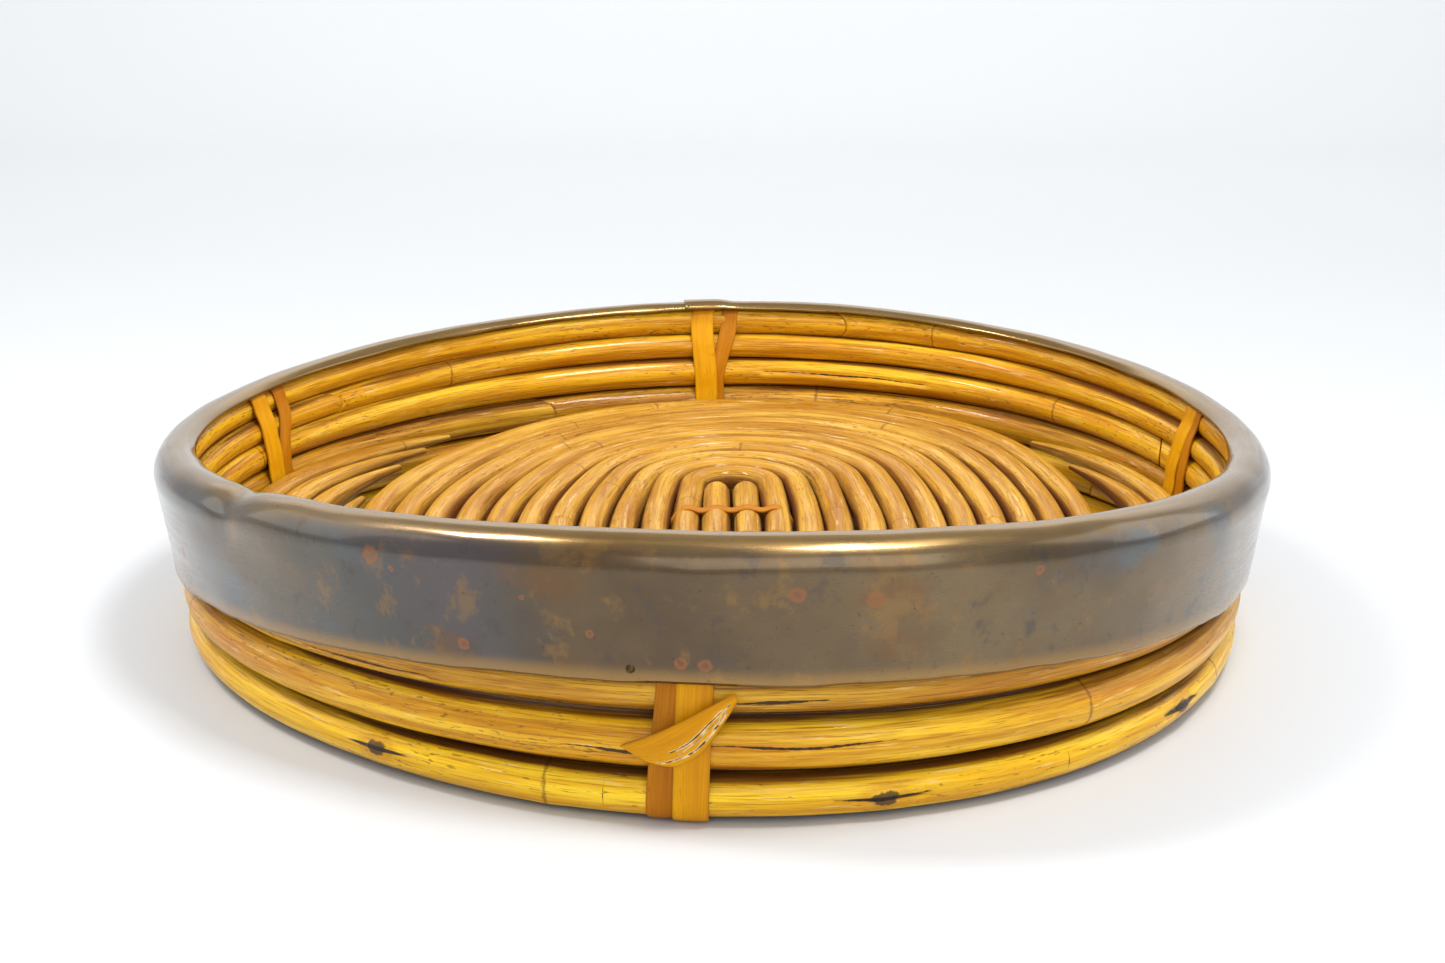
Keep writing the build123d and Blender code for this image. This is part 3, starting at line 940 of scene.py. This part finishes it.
# %% Hitches
# both edges of the strip from its cut end to its tip, sideways and up, and its lift off the wraps
HITCH_LOW_EDGE = ((-4.7, 14.5), (0.5, 14.7), (6.4, 18.0), (11.3, 23.8), (14.6, 28.4))
HITCH_HIGH_EDGE = ((-12.1, 17.9), (-6.8, 20.3), (-1.4, 22.7), (6.6, 26.4), (14.3, 29.9))
HITCH_LIFTS = (-0.9, 1.1, 1.9, 1.3, -0.3)
HITCH_RADIUS = 160.3 * MM
HITCH_ROW_GAP = 0.6 * MM
HITCH_COLUMNS = 16
HITCH_SIZE = (31.0 * MM, 8.0 * MM)
HITCH_CROWN = 0.35
HITCH_RIPPLE, HITCH_WAVE = 0.2, 6 * MM
CURLED_EDGE, CURL_START = 0.7, 0.7      # the low edge curls down past this share of the half width
# splits along the strip: where they start and stop, how far across, and half width in millimetres
HITCH_SPLITS = ((0.34, 0.94, -0.16, 0.17), (0.12, 0.86, -0.66, 0.05))


def nearest_split(share, edge, half):
    """Distance to the closest split and its half width here, in millimetres."""
    gap, split_width = FAR, 0.0
    for start, stop, row, widest in HITCH_SPLITS:
        drift = 0.06 * math.sin(share * 9 + row)
        distance = (edge - row - drift) * half
        if start < share < stop and abs(distance) < abs(gap):
            gap = distance
            split_width = widest * math.sin(math.pi * (share - start) / (stop - start))
    return gap, split_width


def hitch_strip(place, azimuth):
    """The slanting strip that locks one binding."""
    length, width = HITCH_SIZE
    strip = flat_strip(length, width, HITCH_COLUMNS, HITCH_ROW_GAP)
    scar = strip.verts.layers.float_vector["scar"]
    outward, sideways = outward_at(azimuth), outward_at(azimuth + 90)
    low_edge = [Vector(point) for point in HITCH_LOW_EDGE]
    high_edge = [Vector(point) for point in HITCH_HIGH_EDGE]
    for vertex in strip.verts:
        along, across, _ = vertex.co
        share, edge = along / length, 2 * across / width
        low, high = along_line(low_edge, share), along_line(high_edge, share)
        flat = low.lerp(high, (edge + 1) / 2)
        gap, split_width = nearest_split(share, edge, 0.5 * (high - low).length)
        vertex[scar] = (FAR, gap * MM if split_width else FAR, split_width * MM)
        lift = along_line(HITCH_LIFTS, share) + HITCH_CROWN * (1 - edge * edge)
        lift += HITCH_RIPPLE * noise.noise((along / HITCH_WAVE, edge * 2, azimuth))
        lift -= CURLED_EDGE * max(0.0, -edge - CURL_START) / (1 - CURL_START)
        if split_width:
            lift -= 2.2 * split_width * math.exp(-((gap / 0.3) ** 2))
            lift += 0.9 * split_width * math.exp(-(((abs(gap) - 0.6) / 0.35) ** 2))
        vertex.co = outward * (HITCH_RADIUS + lift * MM) + sideways * (flat.x * MM)
        vertex.co.z = flat.y * MM
    bmesh.ops.recalc_face_normals(strip, faces=strip.faces[:])
    if sum(face.normal.dot(outward) for face in strip.faces) < 0:
        bmesh.ops.reverse_faces(strip, faces=strip.faces[:])
    settle(strip)
    node = f"binding_{place}_hitch"
    finish_piece(f"hitch_{place}", strip, strap_finish, node, (THICKEN, SOFTEN))


for place, azimuth in STRAP_ANGLES.items():
    hitch_strip(place, azimuth - STRAP_STEP / 2)

# %% [markdown]
# ## Lashings in the middle of the floor
# Two narrow strips hold the first four runs of the coil together. Each is a loop that dips a little between
# the poles it crosses.

# %% Lashings
LASHING_WIDTH = 5.0 * MM
LASHING_COLUMNS, LASHING_ROW_GAP = 6, 0.9 * MM
LASHING_PLACES = {"core_lashing_back": 7.0, "core_lashing_front": -20.0}
LASHED = 4
LASHING_DIP = 0.9 * MM
LASHING_GAP, SIDE_GAP = 0.4 * MM, 0.3 * MM
LASHING_RIPPLE, LASHING_WAVE = 0.1 * MM, 6 * MM
LASHING_SWAY, SWAY_SPAN = 0.6 * MM, 12 * MM


def lashing_loop():
    """Points over and under four poles, sideways and up."""
    tops = []
    rise = FLOOR_POLE + LASHING_GAP
    first = CORE_X - SIDE_PITCH * (LASHED - 1) / 2
    for run in range(LASHED):
        centre = first + run * SIDE_PITCH
        tops.append((centre, rise))
        if run < LASHED - 1:
            tops.append((centre + SIDE_PITCH / 2, rise - LASHING_DIP))
    right = first + (LASHED - 1) * SIDE_PITCH + FLOOR_POLE + SIDE_GAP
    left = first - FLOOR_POLE - SIDE_GAP
    bottoms = [(x, -z) for x, z in reversed(tops)]
    loop = tops + [(right, 0.0)] + bottoms + [(left, 0.0)]
    return [(x, z + FLOOR_Z) for x, z in reversed(loop)]


def lashing(node, place):
    """One strip round the core and the first turn of the coil, this far back from the middle."""
    length, loop = smooth_loop(lashing_loop(), 8)
    strip = flat_strip(length, LASHING_WIDTH, LASHING_COLUMNS, LASHING_ROW_GAP)
    for vertex in strip.verts:
        along, across, _ = vertex.co
        point, normal = loop(along)
        edge = across / (0.5 * LASHING_WIDTH)
        lift = CROWN * (1 - edge * edge)
        lift += LASHING_RIPPLE * noise.noise((along / LASHING_WAVE, edge, place))
        spot = point + normal * lift
        sway = LASHING_SWAY * math.sin((spot.x - CORE_X) / SWAY_SPAN + place)
        vertex.co = (spot.x, place * MM + across + sway, spot.y)
    join_ends(strip)
    thicken = ("SOLIDIFY", {"thickness": CANE * 0.7, "offset": 0.0})
    finish_piece(node.replace("core_", "floor_"), strip, dull_finish, node, (thicken,))


for node, place in LASHING_PLACES.items():
    lashing(node, place)

# %% [markdown]
# ## Old brass
# Brass that was once heated and lacquered goes brown, with faint blue, teal and purple patches and small
# ring-shaped stains where drops dried. The sheet stores its flat position: X round the tray and Y up the
# sheet from its lower edge. The stains, the wipe marks, the grey and brown stretches and the painted
# highlights on the lower edge and the fold are drawn on that position. The clouds, blotches and specks are
# noise in the tray's own space.

# %% Stain group
stain, given = new_group("ring_stain", [("Lay", VECTOR), ("Centre", VECTOR), ("Radius", SCALAR)], ("Mask",))
ends = [(0, given["Lay"]), (1, given["Centre"])]
offset = add(stain, "ShaderNodeVectorMath", ends, operation="SUBTRACT").outputs[0]
ragged = calc(stain, "SUBTRACT", mottle(stain, given["Lay"], 500.0, 2.0), 0.5)
distance = calc(stain, "ADD", size_of(stain, offset), calc(stain, "MULTIPLY", ragged, 1.4 * MM))
reach = calc(stain, "DIVIDE", distance, given["Radius"])
disc = inverse(stain, fade(stain, reach, 0.75, 1.25))
hollow = calc(stain, "MULTIPLY", inverse(stain, fade(stain, reach, 0.1, 0.8)), 0.65)
close_group(stain, {"Mask": calc(stain, "SUBTRACT", disc, hollow, clamp=True)})

# %% Brass sheet: sizes
BAND_FOOT_RADIUS = 161.0
BAND_FOOT_Z = 29.5
RIM_RADIUS = 165.0
SHOULDER_RADIUS = 8.0
SHOULDER_Z = 56.5
FOLD_RADIUS = 4.9
FOLD_CENTRE = (156.7, 59.6)
FOLD_TURN = math.radians(58)
SHEET = 0.6
band_length = math.hypot(RIM_RADIUS - BAND_FOOT_RADIUS, SHOULDER_Z - BAND_FOOT_Z)
shoulder_length = SHOULDER_RADIUS * math.pi / 2
fold_length = FOLD_RADIUS * FOLD_TURN
sheet_height = band_length + shoulder_length + fold_length
print("the sheet is", round(sheet_height, 1), "mm wide before it is folded")

# %% Brass material
# stains by azimuth in degrees, distance up the sheet and radius in millimetres
STAINS = (
    (239.4, 27.0, 2.3), (275.9, 23.2, 1.9), (281.9, 21.5, 1.9), (268.8, 5.2, 1.6), (266.9, 5.6, 1.5),
    (248.1, 6.4, 1.5), (241.5, 24.0, 0.8), (259.6, 12.0, 1.0), (296.0, 26.0, 1.2), (254.0, 20.0, 0.7),
    (62.0, 18.0, 2.1), (118.0, 9.0, 1.7), (171.0, 22.0, 1.9), (12.0, 14.0, 1.6), (36.0, 6.0, 1.3),
    (205.0, 12.0, 1.4),
)
# stretches round the tray in radians: where each tint starts, is full, begins to go and is gone
GREY_STRETCH = (3.62, 4.2, 4.32, 4.56)
BROWN_STRETCH = (4.4, 4.62, 4.72, 4.98)
brass, tree = new_material("patinated_brass")
lay = stored(tree, "lay")
place = add(tree, "ShaderNodeTexCoord").outputs["Object"]
round_sheet, up_sheet, _ = add(tree, "ShaderNodeSeparateXYZ", [(0, lay)]).outputs
azimuth = calc(tree, "DIVIDE", round_sheet, RIM_RADIUS * MM)


def on_stretch(stops, low=0.0):
    """A mask that is full on one stretch of the tray's round, and this low before it."""
    start, full, going, gone = stops
    arriving = fade(tree, azimuth, start, full, low, 1.0)
    return calc(tree, "MULTIPLY", arriving, fade(tree, azimuth, going, gone, 1.0, 0.0))


def stain_mask():
    """All the dried drops together."""
    mask = 0.0
    for around, up, radius in STAINS:
        centre = (math.radians(around) * RIM_RADIUS * MM, up * MM, 0.0)
        drop = use_group(tree, stain, [("Lay", lay), ("Centre", centre), ("Radius", radius * MM)])
        mask = calc(tree, "MAXIMUM", drop["Mask"], mask)
    return mask


# %% Brass colours
wide_clouds = mottle(tree, place, 14.0, 4.0, 0.55)
clouds = mottle(tree, stretch(tree, place, (1.0, 1.0, 1.6)), 23.0, 4.0, 0.6)
CLOUD_SHIFT = (0.31, 0.17, 0.05)
beside = add(tree, "ShaderNodeVectorMath", [(0, place), (1, CLOUD_SHIFT)], operation="ADD").outputs[0]
other_clouds = mottle(tree, beside, 19.0, 3.0, 0.5)
blotch = mottle(tree, stretch(tree, place, (1.0, 1.0, 0.8)), 95.0, 5.0, 0.7)
grey = calc(tree, "MULTIPLY", on_stretch(GREY_STRETCH, 0.7), fade(tree, other_clouds, 0.3, 0.62, 0.35, 1.0))
brown = calc(tree, "MULTIPLY", on_stretch(BROWN_STRETCH), fade(tree, clouds, 0.34, 0.6, 0.5, 1.0))
stains = stain_mask()
specks = fade(tree, mottle(tree, place, 520.0, 3.0, 0.6), 0.66, 0.74)
colour = blend(tree, fade(tree, wide_clouds, 0.36, 0.62), rgb(84, 66, 44), rgb(118, 98, 68))
for mask, strength, over in (
    (grey, 0.9, rgb(80, 80, 78)),
    (fade(tree, clouds, 0.52, 0.68), 0.75, rgb(82, 92, 98)),
    (fade(tree, other_clouds, 0.56, 0.72), 0.35, rgb(104, 84, 88)),
    (fade(tree, clouds, 0.44, 0.3), 0.7, rgb(112, 78, 42)),
    (brown, 0.65, rgb(76, 56, 36)),
    (fade(tree, blotch, 0.54, 0.66), 0.5, rgb(140, 104, 54)),
    (fade(tree, blotch, 0.44, 0.32), 0.6, rgb(72, 66, 62)),
    # painted highlight: the shoulder and fold at the top and a strip along the lower edge are lighter
    (fade(tree, up_sheet, 31.0 * MM, 38.0 * MM), 0.8, rgb(150, 116, 56)),
    (inverse(tree, fade(tree, up_sheet, 0.4 * MM, 5.0 * MM)), 0.7, rgb(166, 128, 66)),
    (stains, 0.75, rgb(150, 92, 52)),
    (specks, 0.6, rgb(62, 44, 26)),
):
    colour = shade(tree, colour, mask, strength, over)

# %% Brass gloss
wipe = mottle(tree, stretch(tree, lay, (30.0, 420.0, 0.0)), 1.0, 4.0, 0.6)
rough = fade(tree, wide_clouds, 0.3, 0.7, 0.15, 0.26)
rough = calc(tree, "ADD", rough, calc(tree, "MULTIPLY", stains, 0.15))
rough = calc(tree, "ADD", rough, fade(tree, wipe, 0.3, 0.7, 0.0, 0.08))
brass_sockets = [
    ("Base Color", colour),
    ("Metallic", fade(tree, clouds, 0.3, 0.7, 0.95, 0.82)),
    ("Roughness", rough),
    ("Coat Weight", 0.6),
    ("Coat Roughness", 0.1),
    ("Normal", relief(tree, [(wipe, 0.3), (clouds, 0.6), (specks, -0.3)], 0.25, 0.3 * MM)),
]
close_material(tree, brass_sockets)
print("material", brass.name, "with", len(STAINS), "stains")

# %% [markdown]
# ## Folding the band
# The rim is one strip of thin brass, bent round the tray, folded over the top hoop and overlapped at the
# back. We lay the sheet flat as a grid, fold it along its width, bend it along its length, and dent it with
# a short list of dents and slow noise: a hand-beaten sheet is never a true cone.

# %% Folding and denting
SHEET_ROWS = 46
SHEET_COLUMNS = 640
LAP_START = 90.0
LAP_ARC = 5.0
LAP_STEP, LAP_RAMP = SHEET + 0.12, 2.0   # millimetres out, and degrees over which it climbs there
FOOT_REACH, LIP_REACH = 10.0, 4.0        # how far from its edges the sheet is wavy, in millimetres
# dents: azimuth, distance up the sheet, reach round and up, depth outwards, in degrees and millimetres
DENTS = (
    (217.7, 36.0, 3.0, 9.0, -1.4), (226.0, 34.0, 4.0, 8.0, 0.9), (268.0, 16.0, 2.2, 14.0, 0.9),
    (244.0, 30.0, 6.0, 7.0, -0.5), (283.0, 12.0, 9.0, 10.0, 0.5), (301.0, 28.0, 7.0, 9.0, -0.6),
    (256.0, 9.0, 7.0, 8.0, -0.4), (322.0, 18.0, 6.0, 12.0, 0.6), (40.0, 20.0, 8.0, 10.0, -0.7),
    (140.0, 24.0, 9.0, 12.0, 0.6), (165.0, 14.0, 5.0, 9.0, -0.6), (75.0, 30.0, 6.0, 8.0, 0.5),
)


def folded(up):
    """The place of a distance up the sheet, outwards and up in millimetres, and the way its face points."""
    foot, shoulder = Vector((BAND_FOOT_RADIUS, BAND_FOOT_Z)), Vector((RIM_RADIUS, SHOULDER_Z))
    if up <= band_length:
        share = up / band_length
        face = Vector((SHOULDER_Z - BAND_FOOT_Z, BAND_FOOT_RADIUS - RIM_RADIUS)).normalized()
        return foot.lerp(shoulder, share), face
    up -= band_length
    if up <= shoulder_length:
        turn = up / SHOULDER_RADIUS
        face = Vector((math.cos(turn), math.sin(turn)))
        return shoulder - Vector((SHOULDER_RADIUS, 0)) + face * SHOULDER_RADIUS, face
    turn = math.pi / 2 + (up - shoulder_length) / FOLD_RADIUS
    face = Vector((math.cos(turn), math.sin(turn)))
    return Vector(FOLD_CENTRE) + face * FOLD_RADIUS, face


def dented(spin, azimuth, up):
    """How far the sheet is pushed out here, in millimetres."""
    push = 0.35 * noise.noise((spin.x * 3.2, spin.y * 3.2, up / 22))
    push += 0.18 * noise.noise((spin.x * 9, spin.y * 9, up / 9))
    push += 0.25 * foot_share(up) * noise.noise((spin.x * 6, spin.y * 6, 4.0))
    for dent_azimuth, dent_up, round_reach, up_reach, depth in DENTS:
        round_gap = math.remainder(azimuth - dent_azimuth, 360) / round_reach
        up_gap = (up - dent_up) / up_reach
        push += depth * math.exp(-(round_gap**2) - up_gap**2)
    over_lap = azimuth - LAP_START - 360
    return push + LAP_STEP * min(1.0, max(0.0, (over_lap + LAP_RAMP) / LAP_RAMP))


def foot_share(up):
    """One at the lower edge, nothing from FOOT_REACH upwards."""
    return max(0.0, 1 - up / FOOT_REACH)


def wavy(spin, up):
    """How far the sheet's two cut edges wander up and down, in millimetres."""
    lip_share = max(0.0, 1 - (sheet_height - up) / LIP_REACH)
    foot_wave = 0.7 * noise.noise((spin.x * 5, spin.y * 5, 9.0))
    foot_wave += 0.3 * noise.noise((spin.x * 17, spin.y * 17, 2.0))
    return foot_share(up) * foot_wave + lip_share * 0.6 * noise.noise((spin.x * 8, spin.y * 8, 6.0))


# %% Brass sheet
sheet = bmesh.new()
bmesh.ops.create_grid(sheet, x_segments=SHEET_COLUMNS, y_segments=SHEET_ROWS, size=0.5)
lay_layer = sheet.verts.layers.float_vector.new("lay")
for vertex in sheet.verts:
    azimuth = LAP_START + (vertex.co.x + 0.5) * (360 + LAP_ARC)
    up = (vertex.co.y + 0.5) * sheet_height
    vertex[lay_layer] = (math.radians(azimuth % 360) * RIM_RADIUS * MM, up * MM, 0)
    spin = outward_at(azimuth)
    spot, face = folded(up)
    spot += face * dented(spin, azimuth, up)
    vertex.co = (spin * spot.x + Vector((0, 0, spot.y + wavy(spin, up)))) * MM
settle(sheet, RIM_LEVEL)
bmesh.ops.recalc_face_normals(sheet, faces=sheet.faces[:])
sample = max(sheet.faces, key=lambda face: face.calc_center_median().to_2d().length)
if sample.normal.to_2d().dot(sample.calc_center_median().to_2d()) < 0:
    bmesh.ops.reverse_faces(sheet, faces=sheet.faces[:])
thicken = ("SOLIDIFY", {"thickness": SHEET * MM, "offset": -1.0})
finish_piece("brass_band", sheet, brass, "brass_rim", (thicken,))

# %% [markdown]
# ## Nails and tacks
# Wire nails pin each hoop to the next and the floor to the wall, and three round-headed tacks hold the
# brass. They are small, so a plain rod is enough for the wire and a flattened ball for a tack's head, but
# they have to settle with the tray.


# %% Metal finishes
def small_metal(name, colour_a, colour_b, metallic, roughness):
    """A plain worn metal for nails and tacks."""
    material, tree = new_material(name)
    worn = mottle(tree, add(tree, "ShaderNodeTexCoord").outputs["Object"], 700.0, 3.0)
    sockets = [
        ("Base Color", blend(tree, fade(tree, worn, 0.4, 0.62), colour_a, colour_b)),
        ("Metallic", metallic),
        ("Roughness", fade(tree, worn, 0.3, 0.7, roughness, roughness + 0.2)),
        ("Normal", relief(tree, [(worn, 1.0)], 0.4, 0.1 * MM)),
    ]
    close_material(tree, sockets)
    return material


nail_finish = small_metal("nail_wire", rgb(70, 62, 54), rgb(96, 64, 42), 0.8, 0.5)
tack_finish = small_metal("tack_brass", rgb(104, 82, 48), rgb(70, 52, 32), 0.9, 0.35)
print("metal finishes:", nail_finish.name, tack_finish.name)

# %% Nails
NAIL_RADIUS = 0.7
WALL_NAIL_ANGLES = (45.0, 135.0, 225.0, 315.0)
TIER_STEP = 11.0             # each tier of nails is turned this many degrees on the one below
WALL_CENTRES = ((153.4, 6.3), (153.3, 17.5), (153.4, 28.95), (153.8, 39.3), (154.9, 48.4), (158.2, 57.15))
FLOOR_NAIL_ANGLES = (-75.0, -30.0, 0.0, 30.0, 75.0, 105.0, 150.0, 180.0, 210.0, 255.0)
FLOOR_NAIL = ((140.5, 27.0), (151.5, 19.0))


def upright(direction):
    """The turn that points a piece's own up along this direction."""
    return direction.to_track_quat("Z", "Y").to_matrix().to_4x4()


def pin(shape, azimuth, start, end):
    """Add a nail's wire from one place to another, both as (outwards, up), at this azimuth."""
    ends = [(outward_at(azimuth) * r + Vector((0, 0, z))) * MM for r, z in (start, end)]
    run = ends[1] - ends[0]
    matrix = Matrix.Translation((ends[0] + ends[1]) / 2) @ upright(run)
    radius = NAIL_RADIUS * MM
    bmesh.ops.create_cone(
        shape, cap_ends=True, segments=10, radius1=radius, radius2=radius, depth=run.length, matrix=matrix
    )


wall_nails = bmesh.new()
for tier, (lower, upper) in enumerate(zip(WALL_CENTRES, WALL_CENTRES[1:])):
    for azimuth in WALL_NAIL_ANGLES:
        pin(wall_nails, azimuth + tier * TIER_STEP, lower, upper)
settle(wall_nails)
finish_piece("hoop_nails", wall_nails, nail_finish, "wall_nails")

floor_nails = bmesh.new()
for azimuth in FLOOR_NAIL_ANGLES:
    pin(floor_nails, azimuth, *FLOOR_NAIL)
settle(floor_nails)
finish_piece("edge_nails", floor_nails, nail_finish, "floor_nails")

# %% Tacks
TACKS = ((92.5, 34.0, True), (92.5, 46.0, True), (-97.2, 33.0, False))   # azimuth, height, on the lap
TACK_LENGTH = 5.0
TACK_HEAD, SMALL_HEAD = 1.6, 1.12
HEAD_HEIGHT = 0.45           # as a share of the head's radius

tacks = bmesh.new()
for azimuth, height, on_lap in TACKS:
    share = (height - BAND_FOOT_Z) / (SHOULDER_Z - BAND_FOOT_Z)
    face = BAND_FOOT_RADIUS + share * (RIM_RADIUS - BAND_FOOT_RADIUS) + (SHEET if on_lap else 0.0)
    pin(tacks, azimuth, (face, height), (face - TACK_LENGTH, height))
    outward = outward_at(azimuth)
    matrix = Matrix.Translation((outward * face + Vector((0, 0, height))) * MM) @ upright(outward)
    matrix = matrix @ Matrix.Diagonal((1, 1, HEAD_HEIGHT, 1))
    head = TACK_HEAD if on_lap else SMALL_HEAD
    bmesh.ops.create_uvsphere(tacks, u_segments=16, v_segments=10, radius=head * MM, matrix=matrix)
settle(tacks, RIM_LEVEL)
finish_piece("band_tacks", tacks, tack_finish, "rim_tacks")

# %% [markdown]
# ## Studio
# A pale sheet that curves up behind the tray gives an even backdrop. Two small strong lights overhead put
# long highlights on the brass shoulder, one strip lights the upright part of the sheet, and large weak
# lights behind, at both sides and in front keep the shadows soft.

# %% Sweep
SWEEP_HALF = 2.2
SWEEP_FRONT = -1.6
SWEEP_BACK = 1.3
SWEEP_RADIUS = 0.5
SWEEP_TOP = 1.2
SWEEP_AXIS = (1, 0, 0)
sweep = bmesh.new()
start = sweep.verts.new((-SWEEP_HALF, SWEEP_FRONT, 0))
line = bmesh.ops.spin(sweep, geom=[start], dvec=(0, SWEEP_BACK - SWEEP_FRONT, 0), steps=1, axis=SWEEP_AXIS)
centre = (0, SWEEP_BACK, SWEEP_RADIUS)
curve = bmesh.ops.spin(
    sweep, geom=line["geom_last"], cent=centre, angle=math.pi / 2, steps=16, axis=SWEEP_AXIS
)
bmesh.ops.spin(sweep, geom=curve["geom_last"], dvec=(0, 0, SWEEP_TOP), steps=1, axis=SWEEP_AXIS)
outline = sweep.verts[:] + sweep.edges[:]
bmesh.ops.spin(sweep, geom=outline, dvec=(2 * SWEEP_HALF, 0, 0), steps=1, axis=SWEEP_AXIS)
bmesh.ops.recalc_face_normals(sweep, faces=sweep.faces[:])
sweep_mesh = bpy.data.meshes.new("sweep")
sweep.to_mesh(sweep_mesh)
sweep.free()
for face in sweep_mesh.polygons:
    face.use_smooth = True
backdrop = bpy.data.objects.new("sweep", sweep_mesh)
bpy.context.scene.collection.objects.link(backdrop)
paper, tree = new_material("pale_paper")
close_material(tree, [("Base Color", (0.64, 0.65, 0.66, 1)), ("Roughness", 0.6)])
sweep_mesh.materials.append(paper)
print("the sweep has", len(sweep_mesh.polygons), "faces")

# %% Lights
TRAY_MIDDLE = Vector((0, 0, 0.03))
SWEEP_MIDDLE = Vector((0, 1.9, 1.0))


def softbox(name, place, width, height, power, aim=TRAY_MIDDLE):
    """A soft light of this size in metres and power in watts, turned to face its aim."""
    light = bpy.data.lights.new(name, "AREA")
    light.shape = "RECTANGLE"
    light.size = width
    light.size_y = height
    light.energy = power
    lamp = bpy.data.objects.new(name, light)
    lamp.location = place
    lamp.rotation_euler = (aim - Vector(place)).to_track_quat("-Z", "Y").to_euler()
    bpy.context.scene.collection.objects.link(lamp)


softbox("back_window", (0.1, 1.15, 0.85), 2.2, 0.5, 1.0)
softbox("overhead_left", (-0.56, -0.02, 0.88), 0.14, 0.3, 4.2)
softbox("overhead_right", (0.27, -0.24, 0.95), 0.24, 0.26, 6.4)
softbox("backdrop_light", (0.0, 1.0, 1.5), 3.0, 0.4, 24, SWEEP_MIDDLE)
softbox("left_side", (-1.3, 0.1, 0.6), 0.9, 0.8, 2.0)
softbox("right_side", (1.3, 0.2, 0.6), 0.9, 0.8, 2.6)
softbox("front_fill", (0.3, -1.5, 0.9), 2.0, 1.0, 9.5)
world = bpy.data.worlds.new("studio")
bpy.context.scene.world = world
world.use_nodes = True
sky = world.node_tree.nodes["Background"].inputs
sky["Color"].default_value = (0.95, 0.97, 1.0, 1)
sky["Strength"].default_value = 0.64
bpy.context.scene.view_settings.view_transform = "Standard"
print("lights", [item.name for item in bpy.data.lights])

# %% Camera
CAMERA_DISTANCE = 0.612
CAMERA_TILT = 0.284          # radians down from level
CAMERA_LENS = 49.83
CAMERA_SHIFT = (0.001661, 0.021038)
camera_data = bpy.data.cameras.new("camera")
camera_data.sensor_width = 36.0
camera_data.lens = CAMERA_LENS
camera_data.shift_x, camera_data.shift_y = CAMERA_SHIFT
camera = bpy.data.objects.new("camera", camera_data)
towards = Vector((0, -math.cos(CAMERA_TILT), math.sin(CAMERA_TILT)))
camera.location = TRAY_MIDDLE + CAMERA_DISTANCE * towards
camera.rotation_euler = (-towards).to_track_quat("-Z", "Y").to_euler()
bpy.context.scene.collection.objects.link(camera)
bpy.context.scene.camera = camera
print("camera at", [round(value, 3) for value in camera.location])
